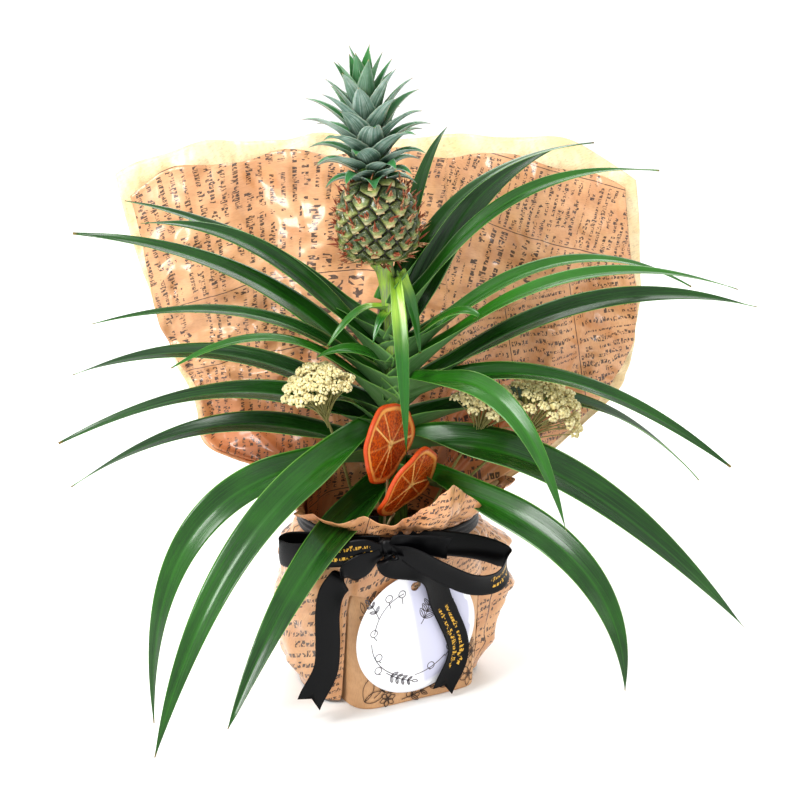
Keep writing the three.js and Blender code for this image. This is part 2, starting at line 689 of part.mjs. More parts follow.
function makeYarrow() {
  for (const head of yarrowHeads) {
    const top = vec(...head.at);
    top.z += neckZ;
    const foot = vec(head.foot[0], head.foot[1], soilZ + gap);
    const lean = top.clone().sub(foot).normalize();
    const under = top.clone().addScaledVector(lean, -head.height * 0.5);
    const over = (s) => top.clone().addScaledVector(lean, head.height * (s - 0.5));
    const r = head.radius;
    const cap = rod([over(0), over(0.45), over(0.8), over(1)], [r * 0.25, r * 0.95, r * 0.9, r * 0.4], 12);
    cap.translate(0, -top.y, 0).scale(1, head.depth, 1).translate(0, top.y, 0);
    const bend = foot.clone().setZ(foot.z + 50);
    const points = new THREE.QuadraticBezierCurve3(foot, bend, under.clone().addScaledVector(lean, 4)).getPoints(6);
    const stem = rod(points, points.map(() => yarrowStemRadius), 6);
    add(head.name, geometryOf(solidOf(cap).add(solidOf(stem))), material(0xcdb36b, 0.95));
  }
}

makePot();
makeSoil();
makeStem();
makeLongLeaves();
makePeduncle();
makeBracts();
makeFruit();
makeCrown();
makeSleeve();
makeWrap();
makeBackSheets();
makeBand();
makeKnot();
makeRibbons();
makeRightTail();
makeTag();
makeTwine();
makeSlices();
makeYarrow();

export default group;
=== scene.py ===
# A gift-wrapped pineapple plant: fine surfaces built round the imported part, in metres.
import math

import bpy
import numpy as np
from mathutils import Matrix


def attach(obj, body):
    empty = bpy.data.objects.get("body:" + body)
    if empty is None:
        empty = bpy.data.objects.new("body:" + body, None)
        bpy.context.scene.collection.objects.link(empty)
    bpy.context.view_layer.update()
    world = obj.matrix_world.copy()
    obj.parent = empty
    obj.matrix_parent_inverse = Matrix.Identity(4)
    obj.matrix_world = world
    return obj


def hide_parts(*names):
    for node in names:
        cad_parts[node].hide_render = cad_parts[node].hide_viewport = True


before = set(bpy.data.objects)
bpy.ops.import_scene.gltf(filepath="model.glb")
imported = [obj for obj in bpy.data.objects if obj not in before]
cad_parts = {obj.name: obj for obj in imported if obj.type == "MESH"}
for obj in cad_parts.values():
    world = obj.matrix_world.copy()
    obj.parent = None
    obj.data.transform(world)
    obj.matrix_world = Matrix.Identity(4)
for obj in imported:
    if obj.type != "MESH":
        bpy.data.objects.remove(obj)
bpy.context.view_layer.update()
print("stage: frame loaded")


def linearColour(code):
    # sRGB hex to linear: c / 12.92 below 0.04045, else ((c + 0.055) / 1.055) ^ 2.4.
    parts = [int(code[i:i + 2], 16) / 255 for i in (1, 3, 5)]
    return tuple(c / 12.92 if c <= 0.04045 else ((c + 0.055) / 1.055) ** 2.4 for c in parts) + (1,)


def smoothStep(x, low, high):
    # 0 below low, 1 above high, and 3t^2 - 2t^3 between them.
    t = np.clip((np.asarray(x, float) - low) / (high - low), 0, 1)
    return t * t * (3 - 2 * t)


def blend(a, b, share):
    # a plus its share of the way to b.
    return a + (b - a) * share


def unit(v):
    # Each vector over its own length.
    return v / np.maximum(np.linalg.norm(v, axis=-1, keepdims=True), 1e-12)


def heading(degrees):
    # The level direction at that angle from +X.
    a = np.radians(degrees)
    return np.stack([np.cos(a), np.sin(a), np.zeros_like(a)], -1)


def turned(v, axis, angle):
    # Rodrigues: v cos a + (axis x v) sin a + axis (axis . v)(1 - cos a).
    c = np.cos(angle)[..., None]
    s = np.sin(angle)[..., None]
    along = np.sum(axis * v, -1, keepdims=True)
    return v * c + np.cross(axis, v) * s + axis * along * (1 - c)


def smoothPath(points, count):
    # Catmull-Rom through the points, sampled evenly in its own parameter.
    p = np.asarray(points, float)
    p = np.vstack([2 * p[0] - p[1], p, 2 * p[-1] - p[-2]])
    t = np.linspace(0, len(p) - 3, count)
    k = np.minimum(t.astype(int), len(p) - 4)
    f = (t - k)[:, None]
    a, b, c, d = p[k], p[k + 1], p[k + 2], p[k + 3]
    return 0.5 * (2 * b + (c - a) * f + (2 * a - 5 * b + 4 * c - d) * f ** 2
                  + (3 * b - a - 3 * c + d) * f ** 3)


def triangleWave(x):
    # Straight up and down between -1 and 1, once per unit.
    return 4 * np.abs(x - np.floor(x + 0.5)) - 1


def crumple(u, v, seed, sizes):
    # Creased paper: for each size, straight triangle waves in five directions, each bent
    # by the next, add up with heights that follow the size.
    rng = np.random.default_rng(seed)
    total = np.zeros_like(u)
    for size, height in sizes:
        for _ in range(5):
            a = rng.uniform(0, 2 * np.pi)
            b = rng.uniform(0, 2 * np.pi)
            stretch = rng.uniform(0.6, 1.6)
            bend = 0.35 * np.sin((u * np.cos(b) + v * np.sin(b)) / size * 2.3 + rng.uniform(0, 6))
            wave = triangleWave((u * np.cos(a) + v * np.sin(a)) / (size * stretch) + bend
                                + rng.uniform(0, 1))
            where = 0.5 + 0.5 * np.sin((u * np.sin(a) - v * np.cos(a)) / size * 1.1
                                       + rng.uniform(0, 6))
            total += height * wave * where * 0.5
    return total


def surfaceNormals(points, closed=False):
    # Across the columns x along the rows, so a grid that runs left to right and upwards,
    # seen from outside, has its normals outwards.
    if closed:
        across = np.roll(points, -1, axis=1) - np.roll(points, 1, axis=1)
    else:
        across = np.gradient(points, axis=1)
    return unit(np.cross(across, np.gradient(points, axis=0)))


def meshObject(name, points, quads, tris, materials, uv=None, values=None):
    # Vertices, quads and triangles as whole arrays; uv has a row for each face corner.
    name = "fine_" + name.replace(" ", "_")
    mesh = bpy.data.meshes.new(name)
    quads = np.asarray(quads, np.int32).reshape(-1, 4)
    tris = np.asarray(tris, np.int32).reshape(-1, 3)
    corners = np.concatenate([quads.ravel(), tris.ravel()])
    sizes = np.concatenate([np.full(len(quads), 4), np.full(len(tris), 3)])
    mesh.vertices.add(len(points))
    mesh.vertices.foreach_set("co", np.asarray(points, np.float32).ravel())
    mesh.loops.add(len(corners))
    mesh.loops.foreach_set("vertex_index", corners.astype(np.int32))
    mesh.polygons.add(len(sizes))
    mesh.polygons.foreach_set("loop_start", np.concatenate([[0], np.cumsum(sizes)[:-1]]).astype(np.int32))
    if uv is not None:
        layer = mesh.uv_layers.new(name="flat")
        layer.data.foreach_set("uv", np.asarray(uv, np.float32).ravel())
    for key, value in (values or {}).items():
        mesh.attributes.new(key, "FLOAT", "POINT").data.foreach_set(
            "value", np.asarray(value, np.float32).ravel())
    for material in materials:
        mesh.materials.append(material)
    mesh.update(calc_edges=True)
    mesh.validate()
    mesh.shade_smooth()
    piece = bpy.data.objects.new(name, mesh)
    bpy.context.scene.collection.objects.link(piece)
    return piece


def gridQuads(rows, columns, closed, start=0):
    # Each point with its neighbours at the right, above right and above.
    index = np.arange(rows * columns).reshape(rows, columns) + start
    if closed:
        index = np.concatenate([index, index[:, :1]], axis=1)
    return np.stack([index[:-1, :-1], index[:-1, 1:], index[1:, 1:], index[1:, :-1]], -1).reshape(-1, 4)


def gridObject(name, points, materials, uv=None, values=None, closed=False, caps=False):
    # One quad between each four neighbours of a grid; caps close both end rows of a
    # closed grid with a fan round their middle. uv of a closed grid has one more column.
    rows, columns = points.shape[:2]
    quads = gridQuads(rows, columns, closed)
    flat = points.reshape(-1, 3)
    tris = np.zeros((0, 3), int)
    corners = None
    if uv is not None:
        corners = uv.reshape(-1, 2)[gridQuads(rows, uv.shape[1], False).ravel()]
    if caps:
        first = np.arange(columns)
        last = first + (rows - 1) * columns
        tris = np.concatenate([
            np.stack([np.roll(first, -1), first, np.full(columns, len(flat))], -1),
            np.stack([last, np.roll(last, -1), np.full(columns, len(flat) + 1)], -1)])
        flat = np.vstack([flat, points[0].mean(0), points[-1].mean(0)])
        values = {k: np.concatenate([np.ravel(v), [np.mean(v[0]), np.mean(v[-1])]])
                  for k, v in (values or {}).items()}
        if corners is not None:
            corners = np.vstack([corners, np.repeat(uv[:1, 0], tris.shape[0] // 2 * 3, 0),
                                 np.repeat(uv[-1:, 0], tris.shape[0] // 2 * 3, 0)])
    return meshObject(name, flat, quads, tris, materials, corners, values)


def manyGrids(name, points, materials, closed=False, values=None, uv=None):
    # The same grid many times over, as one mesh: points is copies x rows x columns x 3.
    copies, rows, columns = points.shape[:3]
    quads = gridQuads(rows, columns, closed)
    every = (quads[None] + np.arange(copies)[:, None, None] * rows * columns).reshape(-1, 4)
    corners = uv.reshape(-1, 2)[every.ravel()] if uv is not None else None
    return meshObject(name, points.reshape(-1, 3), every, [], materials, corners, values)


def manyShapes(name, shape, quads, tris, turns, places, materials, values=None):
    # One small shape set out many times: each copy is turned by its own 3 x 3 and moved.
    points = np.einsum("nij,pj->npi", turns, shape) + places[:, None]
    lift = np.arange(len(places))[:, None, None] * len(shape)
    return meshObject(name, points.reshape(-1, 3),
                      (np.asarray(quads, int).reshape(1, -1, 4) + lift).reshape(-1, 4),
                      (np.asarray(tris, int).reshape(1, -1, 3) + lift).reshape(-1, 3), materials,
                      values={k: np.repeat(v, len(shape)) for k, v in (values or {}).items()})


def framesFrom(along, spin):
    # 3 x 3 turns whose third column is along and whose others are spun about it.
    along = unit(along)
    aside = np.where(np.abs(along[:, 2:]) > 0.9, [[1.0, 0, 0]], [[0, 0, 1.0]])
    x = unit(np.cross(aside, along))
    x = turned(x, along, spin)
    return np.stack([x, np.cross(along, x), along], -1)


def tubeGrid(path, radii, sides, reference=(0, 0, 1)):
    # A ring square to the path at each station: cos and sin times the radius along two
    # directions, the first square to the path and the reference.
    tangent = unit(np.gradient(path, axis=0))
    a = unit(np.cross(np.broadcast_to(reference, tangent.shape), tangent))
    b = np.cross(tangent, a)
    turn = np.linspace(0, 2 * np.pi, sides, endpoint=False)
    radii = np.broadcast_to(radii, len(path))[:, None, None]
    return path[:, None] + radii * (np.cos(turn)[None, :, None] * a[:, None]
                                    + np.sin(turn)[None, :, None] * b[:, None])


def newMaterial(name):
    # One principled shader linked to the output.
    material = bpy.data.materials.new(name)
    material.use_nodes = True
    tree = material.node_tree
    tree.nodes.clear()
    shader = tree.nodes.new("ShaderNodeBsdfPrincipled")
    output = tree.nodes.new("ShaderNodeOutputMaterial")
    tree.links.new(shader.outputs[0], output.inputs[0])
    return material, tree, shader


def put(tree, node, inputs):
    # Sockets and nodes are linked, anything else becomes the input's own value.
    for key, value in inputs.items():
        socket = node.inputs[key]
        if isinstance(value, bpy.types.Node):
            value = value.outputs[0]
        if isinstance(value, bpy.types.NodeSocket):
            tree.links.new(value, socket)
        else:
            socket.default_value = value


def addNode(tree, kind, inputs=None, **settings):
    # The settings come first, since a node can get other sockets from them.
    node = tree.nodes.new("ShaderNode" + kind)
    for key, value in settings.items():
        setattr(node, key, value)
    put(tree, node, inputs or {})
    return node


def maths(tree, operation, *inputs):
    # The inputs in their order on the node.
    return addNode(tree, "Math", dict(enumerate(inputs)), operation=operation).outputs[0]


def colourMix(tree, share, a, b, how="MIX"):
    # a at share 0 and b at share 1.
    node = addNode(tree, "Mix", {0: share, 6: a, 7: b}, data_type="RGBA", blend_type=how)
    return node.outputs[2]


def ramp(tree, value, low, high, outLow=0.0, outHigh=1.0):
    # outLow below low, outHigh above high, a smooth step between.
    return addNode(tree, "MapRange", {0: value, 1: low, 2: high, 3: outLow, 4: outHigh},
                   interpolation_type="SMOOTHSTEP").outputs[0]


def noise(tree, vector, scale, detail=3.0, roughness=0.55, distortion=0.0):
    # Between 0 and 1, about 0.5 on average.
    return addNode(tree, "TexNoise", {"Vector": vector, "Scale": scale, "Detail": detail,
                                      "Roughness": roughness, "Distortion": distortion}).outputs[0]


def stretched(tree, vector, x, y, z):
    # The vector times x, y and z.
    return addNode(tree, "Mapping", {"Vector": vector, "Scale": (x, y, z)}).outputs[0]


def attribute(tree, name):
    # The mesh's own value at each point.
    return addNode(tree, "Attribute", attribute_name=name).outputs["Fac"]


def objectPlace(tree):
    # Metres in the frame.
    return addNode(tree, "TexCoord").outputs["Object"]


def flatPlace(tree):
    # Metres on the flat sheet.
    return addNode(tree, "UVMap", uv_map="flat").outputs[0]


def bump(tree, shader, height, distance, strength=1.0):
    # Height 1 stands distance metres proud.
    node = addNode(tree, "Bump", {"Height": height, "Distance": distance, "Strength": strength})
    tree.links.new(node.outputs[0], shader.inputs["Normal"])


def finishPiece(piece, nodes):
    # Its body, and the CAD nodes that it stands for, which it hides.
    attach(piece, "root")
    if nodes:
        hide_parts(*nodes)


# Shared sizes, in metres.

soilHeight = 0.1216
plantMiddle = np.array([0.005, 0, 0])
fruitFoot = np.array([-0.005, 0, 0.3944])
fruitTilt = math.radians(6)


def onFruit(points):
    # The fruit's own frame leans to the left about its foot.
    c, s = math.cos(fruitTilt), math.sin(fruitTilt)
    return points @ np.array([[c, 0, -s], [0, 1, 0], [s, 0, c]]).T + fruitFoot


def stemRadius(height):
    # 14 mm at the soil, down to 8 mm at 180 mm above it.
    return blend(0.014, 0.008, np.clip((height - soilHeight) / 0.18, 0, 1))


leafLook = {
    "thickness": 0.0017,        # at the midrib near the stem
    "clasp": 0.042,             # width where the leaf wraps the stem
    "deepColour": "#0a2a0b",    # top side
    "freshColour": "#316f1c",
    "paleEdge": "#7fae54",
    "underColour": "#6d8f62",
    "roughness": 0.25,
    "fullness": 1.18,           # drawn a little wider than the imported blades
}

# turn, root height, knee, tip, width, roll, share of fresh green, curl at the tip.
# Heights are above the soil and lengths are in millimetres.
longLeaves = {
    "leaf_left_1": (165, 190, (116, 300), (252, 315), 21, -28, 0.15, 0),
    "leaf_left_2": (180, 166, (98, 316), (221, 308), 22, -28, 0.25, 0),
    "leaf_left_3": (170, 140, (90, 280), (294, 288), 26, -25, 0.35, 0),
    "leaf_left_4": (191, 146, (92, 266), (264, 230), 21, -20, 0.3, 0),
    "leaf_left_5": (204, 130, (87, 256), (206, 200), 20, -20, 0.8, 0),
    "leaf_left_6": (166, 118, (140, 220), (310, 148), 26, -25, 0.1, 0),
    "leaf_left_7": (184, 104, (110, 205), (300, 112), 27, -25, 0.2, 0),
    "leaf_left_8": (175, 84, (140, 168), (300, 54), 26, -25, 0.25, 0),
    "leaf_front_left_1": (211, 88, (250, 148), (244, -111), 30, -35, 0.45, 0),
    "leaf_front_left_2": (225, 118, (200, 113), (282, -106), 33, -30, 0.5, 0),
    "leaf_front_left_3": (239, 64, (145, 70), (265, -71), 31, -25, 0.3, 0.006),
    "leaf_back_right_1": (67, 204, (32, 343), (126, 374), 14, 0, 0.5, 0),
    "leaf_back_right_2": (28, 234, (50, 363), (208, 363), 15, 15, 0.55, 0),
    "leaf_back_right_3": (44, 176, (58, 334), (214, 350), 28, 35, 0.15, 0),
    "leaf_right_4": (16, 200, (75, 365), (250, 342), 17, 20, 0.65, 0),
    "leaf_right_5": (8, 172, (134, 322), (272, 242), 19, 20, 0.85, 0),
    "leaf_right_6": (355, 156, (130, 309), (301, 255), 19, 20, 0.9, 0),
    "leaf_right_7": (3, 134, (148, 276), (326, 228), 26, 25, 0.3, 0),
    "leaf_right_8": (335, 186, (62, 253), (85, 231), 13, 20, 0.7, -0.008),
    "leaf_right_9": (347, 142, (132, 228), (302, 106), 26, 25, 0.25, 0),
    "leaf_right_10": (18, 112, (176, 186), (310, 36), 26, 20, 0.15, 0),
    "leaf_front_right_1": (312, 150, (150, 240), (215, 81), 22, 30, 0.75, 0),
    "leaf_front_right_2": (336, 98, (145, 156), (330, -17), 42, 30, 0.3, 0),
    "leaf_front_right_3": (320, 74, (252, 90), (257, -61), 31, 35, 0.4, 0),
    "leaf_inner_left": (216, 172, (36, 212), (82, 200), 14, -20, 0.7, 0),
    "leaf_inner_low": (201, 108, (34, 156), (58, 152), 13, -10, 0.5, 0),
    "leaf_inner_back": (100, 148, (14, 208), (32, 263), 16, 0, 0.1, 0),
}

stalkLeaves = {
    "stalk_leaf_front": (280, 258, (52, 214), (66, 116), 12.5, 0, 0.6, 0),
    "stalk_leaf_left": (206, 226, (28, 250), (64, 204), 13, 0, 0.8, 0),
    "stalk_leaf_left_thin": (236, 228, (20, 234), (32, 206), 8, 0, 0.7, 0),
    "stalk_leaf_right": (318, 262, (22, 250), (32, 196), 13, 0, 0.6, 0),
}


def leafGrid(leaf, stations, seed, baseWidth, thickness):
    # A parabola from root to tip in the leaf's upright plane, with a small hook where
    # the tip curls. Across it, a rounded V whose fold eases from a clasping base to a
    # shallow gutter, with slow waves in both edges. The section runs along the
    # underside and back over the top.
    turn, rootHeight, knee, tip, width, roll, fresh, curl = leaf
    rng = np.random.default_rng(seed)
    s = np.linspace(0, 1, stations) ** 1.1
    rootAt = (stemRadius(soilHeight + rootHeight / 1000) * 0.55, rootHeight / 1000)
    out = blend(blend(rootAt[0], knee[0] / 1000, s), blend(knee[0], tip[0], s) / 1000, s)
    up = blend(blend(rootAt[1], knee[1] / 1000, s), blend(knee[1], tip[1], s) / 1000, s)
    ahead = heading(np.float64(turn))
    path = plantMiddle + out[:, None] * ahead + (up + soilHeight)[:, None] * [0, 0, 1]
    along = unit(np.gradient(path, axis=0))
    level = np.cross([0, 0, 1.0], ahead)
    ease = smoothStep(s, 0, 0.35)
    twist = np.radians(roll * ease + 5 * np.sin(s * 5 + rng.uniform(0, 6)) * ease)
    side = turned(np.broadcast_to(level, along.shape), along, twist)
    above = np.cross(along, side)
    hook = np.clip((s - 0.93) / 0.07, 0, 1) ** 2
    path = path + (above * curl - along * abs(curl) * 0.7) * hook[:, None]
    full = blend(baseWidth, width / 1000, smoothStep(s, 0, 0.22))
    half = np.maximum(full * (1 - s ** 2.8), 0.0007) / 2 * leafLook["fullness"]
    fold = np.radians(blend(62.0, 25.0, smoothStep(s, 0, 0.3)) - 8 * s)
    w = np.linspace(-1, 1, 13)
    rounded = np.sqrt(w ** 2 + 0.02) - math.sqrt(0.02)
    length = np.sum(np.linalg.norm(np.diff(path, axis=0), axis=1))
    wave = 0.0011 * np.sin(s[:, None] * length / 0.045 + np.sign(w) * 1.3
                           + rng.uniform(0, 6)) * np.abs(w) ** 2 * ease[:, None]
    across = half[:, None] * np.cos(fold)[:, None] * w
    lift = half[:, None] * np.sin(fold)[:, None] * rounded + wave
    thick = thickness * blend(1.0, 0.45, s)[:, None] * (1 - 0.8 * np.abs(w) ** 3) / 2
    thick = np.minimum(thick, half[:, None] * 0.5)
    point = lambda t: (path[:, None] + across[..., None] * side[:, None]
                       + (lift + t)[..., None] * above[:, None])
    points = np.concatenate([point(-thick), point(thick)[:, ::-1]], axis=1)
    acrossAll = np.concatenate([w, w[::-1]])
    runs = np.concatenate([[0], np.cumsum(np.linalg.norm(np.diff(path, axis=0), axis=1))])
    uv = np.stack(np.broadcast_arrays(np.append(acrossAll, acrossAll[0])[None] * half[:, None],
                                      runs[:, None]), -1)
    shape = points.shape[:2]
    values = {
        "across": np.broadcast_to(np.abs(acrossAll), shape),
        "under": np.broadcast_to(np.repeat([1.0, 0.0], 13), shape),
        "along": np.broadcast_to(s[:, None], shape),
        "fresh": np.full(shape, fresh),
        "salt": np.full(shape, rng.uniform(0, 1)),
    }
    return points, uv, values


def leafMaterial(name, look, deep, freshTone, fade=(0.0, 0.3, 0.45, 0.0)):
    # Living leaf under its own wax: fine lengthwise veins and a sharp soft-edged shine on
    # top with a painted lighter sheen along the middle of the gutter, a dull grey-green bloom
    # beneath, and a thin pale rim where the blade is thinnest.
    material, tree, shader = newMaterial(name)
    place = flatPlace(tree)
    salted = addNode(tree, "CombineXYZ", {0: attribute(tree, "salt"), 1: attribute(tree, "fresh")})
    place = addNode(tree, "VectorMath", {0: place, 1: salted}, operation="ADD").outputs[0]
    veins = noise(tree, stretched(tree, place, 1400, 9, 1), 1.0, 2.0)
    broad = noise(tree, stretched(tree, place, 160, 5, 1), 1.0, 2.0)
    patches = noise(tree, stretched(tree, place, 20, 14, 1), 1.0, 3.0)
    fresh = maths(tree, "ADD", attribute(tree, "fresh"), ramp(tree, patches, 0.35, 0.7, -0.16, 0.16))
    fresh = maths(tree, "ADD", fresh, ramp(tree, attribute(tree, "along"), *fade))
    top = colourMix(tree, ramp(tree, fresh, 0.0, 1.25), linearColour(deep), linearColour(freshTone))
    top = colourMix(tree, ramp(tree, veins, 0.35, 0.7, 0.0, 0.35), top, linearColour(look["freshColour"]))
    top = colourMix(tree, ramp(tree, broad, 0.4, 0.75, 0.0, 0.4), top, linearColour(deep))
    # Painted highlight: the middle of the gutter is mixed towards fresh green as a lighter sheen.
    paintedGutterSheen = ramp(tree, attribute(tree, "across"), 0.0, 0.14, 0.35, 0.0)
    top = colourMix(tree, paintedGutterSheen, top, linearColour(look["freshColour"]))
    under = colourMix(tree, ramp(tree, veins, 0.3, 0.7, 0.0, 0.5), linearColour(look["underColour"]),
                      linearColour(freshTone))
    colour = colourMix(tree, attribute(tree, "under"), top, under)
    rim = ramp(tree, attribute(tree, "across"), 0.93, 1.0, 0.0, 0.75)
    colour = colourMix(tree, rim, colour, linearColour(look["paleEdge"]))
    dry = ramp(tree, attribute(tree, "along"), 0.985, 1.0, 0.0, 0.8)
    colour = colourMix(tree, dry, colour, linearColour("#8a6a3c"))
    rough = maths(tree, "ADD", ramp(tree, broad, 0.3, 0.7, look["roughness"] - 0.06,
                                    look["roughness"] + 0.1),
                  maths(tree, "MULTIPLY", attribute(tree, "under"), 0.2))
    put(tree, shader, {"Base Color": colour, "Roughness": rough, "IOR": 1.38,
                       "Subsurface Weight": 0.1, "Subsurface Radius": (0.3, 1.0, 0.15),
                       "Subsurface Scale": 0.0012, "Coat Weight": 0.25, "Coat Roughness": 0.14})
    height = maths(tree, "ADD", veins, maths(tree, "MULTIPLY", broad, 1.5))
    bump(tree, shader, height, 0.00022, 0.8)
    return material


leafGreen = leafMaterial("pineapple leaf", leafLook, leafLook["deepColour"], leafLook["freshColour"])
youngLeaf = leafMaterial("young stalk leaf", leafLook, "#1f5a18", "#a6c850", (0.05, 0.6, 0.7, -0.6))

for seed, (name, leaf) in enumerate(longLeaves.items()):
    points, uv, values = leafGrid(leaf, 64, seed, leafLook["clasp"], leafLook["thickness"])
    piece = gridObject("leaf " + name[5:].replace("_", " "), points, [leafGreen], uv, values, True, True)
    finishPiece(piece, [name])

for seed, (name, leaf) in enumerate(stalkLeaves.items()):
    points, uv, values = leafGrid(leaf, 40, seed + 50, 0.018, 0.0011)
    piece = gridObject(name.replace("_", " "), points, [youngLeaf], uv, values, True, True)
    finishPiece(piece, [name])

print("stage: leaves")


stemLook = {"colour": "#56782f", "scar": "#35491f", "stalkColour": "#96b846", "stalkGrey": "#7f8c66"}


def fleshMaterial(name, colour, other, scale, roughness):
    # Fibrous green plant flesh, cut or grown: upright streaks and a faint waxy shine.
    material, tree, shader = newMaterial(name)
    place = objectPlace(tree)
    streaks = noise(tree, stretched(tree, place, scale, scale, scale * 0.08), 1.0, 3.0)
    shade = colourMix(tree, ramp(tree, streaks, 0.35, 0.65), linearColour(colour), linearColour(other))
    put(tree, shader, {"Base Color": shade, "Roughness": roughness, "IOR": 1.42,
                       "Subsurface Weight": 0.1, "Subsurface Scale": 0.002})
    bump(tree, shader, streaks, 0.0004)
    return material


stemFlesh = fleshMaterial("plant stem", stemLook["colour"], stemLook["scar"], 500, 0.55)
stalkFlesh = fleshMaterial("fruit stalk", stemLook["stalkColour"], stemLook["stalkGrey"], 600, 0.45)

stemHeights = np.linspace(0.0005, 0.18, 60)
stemPath = plantMiddle + [0, 0, soilHeight] + stemHeights[:, None] * [0, 0, 1]
nodesOnStem = 1 + 0.06 * np.abs(np.sin(stemHeights / 0.0045 * np.pi / 2))
stemPoints = tubeGrid(stemPath, stemRadius(stemPath[:, 2]) * nodesOnStem, 32, (1, 0, 0))
finishPiece(gridObject("plant stem", stemPoints, [stemFlesh], closed=True, caps=True),
            ["plant_stem"])

stalkPath = smoothPath([(0.005, 0, 0.3022), (0.005, 0, 0.34), (0.0015, 0, 0.372),
                        (-0.0049, 0, 0.3958)], 60)
stalkShare = np.linspace(0, 1, 60)
stalkWidth = (0.0088 + 0.0030 * np.exp(-((stalkShare - 1) / 0.06) ** 2)
              - 0.0006 * smoothStep(stalkShare, 0.6, 0.8))
stalkPoints = tubeGrid(stalkPath, stalkWidth, 32, (0, 1, 0))
finishPiece(gridObject("fruit stalk", stalkPoints, [stalkFlesh], closed=True, caps=True),
            ["fruit_stalk"])


fruitLook = {
    "eyes": 74,
    "eyeColour": "#3b5723",
    "eyeFlush": "#8d9450",
    "eyeDark": "#172a10",
    "grooveShade": "#1d170d",
    "bractColour": "#c4ab80",
    "bractTip": "#7d3c22",
}


def fruitRadiusAt(share):
    # Radius of the barrel-shaped body at a share of its height, through a few listed stations.
    stations = [0, 0.04, 0.1, 0.22, 0.45, 0.7, 0.88, 0.96, 1]
    radii = [0.15, 0.55, 0.8, 0.95, 1, 0.91, 0.72, 0.52, 0.25]
    fine = np.linspace(0, 1, 400)
    rough = np.interp(fine, stations, radii)
    window = np.hanning(41) / np.hanning(41).sum()
    smooth = np.convolve(np.pad(rough, 20, mode="edge"), window, mode="valid")
    return 0.0352 * np.interp(share, fine, smooth)


# The eyes sit on a golden-angle spiral, evenly spread over the body's area.
eyeCount = fruitLook["eyes"]
shares = np.linspace(0, 1, 400)
areaTo = np.cumsum(fruitRadiusAt(shares))
eyeShare = np.interp((np.arange(eyeCount) + 0.5) / eyeCount, areaTo / areaTo[-1], shares)
eyeTurn = np.radians(137.5077 * np.arange(eyeCount))

rows, columns = 210, 300
share = blend(0.0, 1.0, np.linspace(0, 1, rows))
turn = np.linspace(0, 2 * np.pi, columns, endpoint=False)
radius = fruitRadiusAt(share)
turnGap = (turn[None, :, None] - eyeTurn + np.pi) % (2 * np.pi) - np.pi
meanRadius = (radius[:, None, None] + fruitRadiusAt(eyeShare)) / 2
rise = (share[:, None, None] - eyeShare) * 0.077
slope = 1 + 0.6 * (np.abs(share - 0.45)[:, None, None] * 2) ** 3
sideways = turnGap * meanRadius
distance = np.sqrt(sideways ** 2 + (rise * slope) ** 2)
order = np.argsort(distance, axis=2)[:, :, :2]
near = np.take_along_axis(distance, order, 2)
lower = np.take_along_axis(np.broadcast_to(rise, distance.shape), order, 2)[..., 0]
aside = np.take_along_axis(sideways, order, 2)[..., 0]
edge = smoothStep(near[..., 1] - near[..., 0], 0, 0.0036)
rng = np.random.default_rng(3)
eyeTone = rng.uniform(0, 1, eyeCount)[order[..., 0]]

# Each eye is a cushion with a sunk rim, a small pit in its middle and a ledge below it.
dome = 0.0034 * edge - 0.0010 * (near[..., 0] / 0.008) ** 2
pit = -0.0009 * np.exp(-(near[..., 0] / 0.0016) ** 2)
ledge = 0.0011 * np.exp(-((lower + 0.0024) / 0.0014) ** 2) * np.exp(-(aside / 0.0045) ** 2) * edge
scaleOut = smoothStep(share, 0, 0.06) * smoothStep(share, 1, 0.95)
outward = radius[:, None] + (dome + pit + ledge - 0.0012) * scaleOut[:, None]
body = np.stack([outward * np.cos(turn), outward * np.sin(turn),
                 np.broadcast_to(0.077 * share[:, None], outward.shape)], -1)


def fruitMaterial():
    # Young pineapple rind: waxy olive eyes flushed yellow, with painted near-black shade in the grooves
    # between them.
    material, tree, shader = newMaterial("pineapple rind")
    place = objectPlace(tree)
    fine = noise(tree, place, 900, 3.0)
    blotch = noise(tree, place, 160, 3.0)
    eye = colourMix(tree, ramp(tree, maths(tree, "ADD", attribute(tree, "tone"),
                                           ramp(tree, blotch, 0.3, 0.7, -0.5, 0.5)), 0.0, 1.0),
                    linearColour(fruitLook["eyeColour"]), linearColour(fruitLook["eyeFlush"]))
    eye = colourMix(tree, ramp(tree, attribute(tree, "upper"), -0.003, 0.0028, 0.0, 0.9), eye,
                    linearColour(fruitLook["eyeDark"]))
    eye = colourMix(tree, ramp(tree, attribute(tree, "upper"), -0.006, -0.0015, 0.6, 0.0), eye,
                    linearColour("#cdbf98"))
    eye = colourMix(tree, ramp(tree, fine, 0.45, 0.7, 0.0, 0.35), eye, linearColour("#a7a86a"))
    # Painted shade: the grooves between the eyes go near-black.
    rind = colourMix(tree, ramp(tree, attribute(tree, "edge"), 0.0, 0.6),
                     linearColour(fruitLook["grooveShade"]), eye)
    put(tree, shader, {"Base Color": rind, "Roughness": ramp(tree, fine, 0.3, 0.7, 0.3, 0.5),
                       "IOR": 1.45, "Coat Weight": 0.6, "Coat Roughness": 0.14,
                        "Subsurface Weight": 0.06, "Subsurface Scale": 0.002})
    bump(tree, shader, maths(tree, "ADD", fine, blotch), 0.0003)
    return material


def bractMaterial():
    # Dried papery bracts and flower remains: dull tan fibres with reddish-brown tips.
    material, tree, shader = newMaterial("dried bract")
    place = objectPlace(tree)
    fibres = noise(tree, stretched(tree, place, 900, 900, 250), 1.0, 3.0)
    tip = maths(tree, "ADD", attribute(tree, "tip"), ramp(tree, fibres, 0.3, 0.7, -0.3, 0.3))
    tone = colourMix(tree, ramp(tree, tip, 0.2, 0.9), linearColour(fruitLook["bractColour"]),
                     linearColour(fruitLook["bractTip"]))
    put(tree, shader, {"Base Color": tone, "Roughness": 0.7, "IOR": 1.45})
    bump(tree, shader, fibres, 0.0003)
    return material


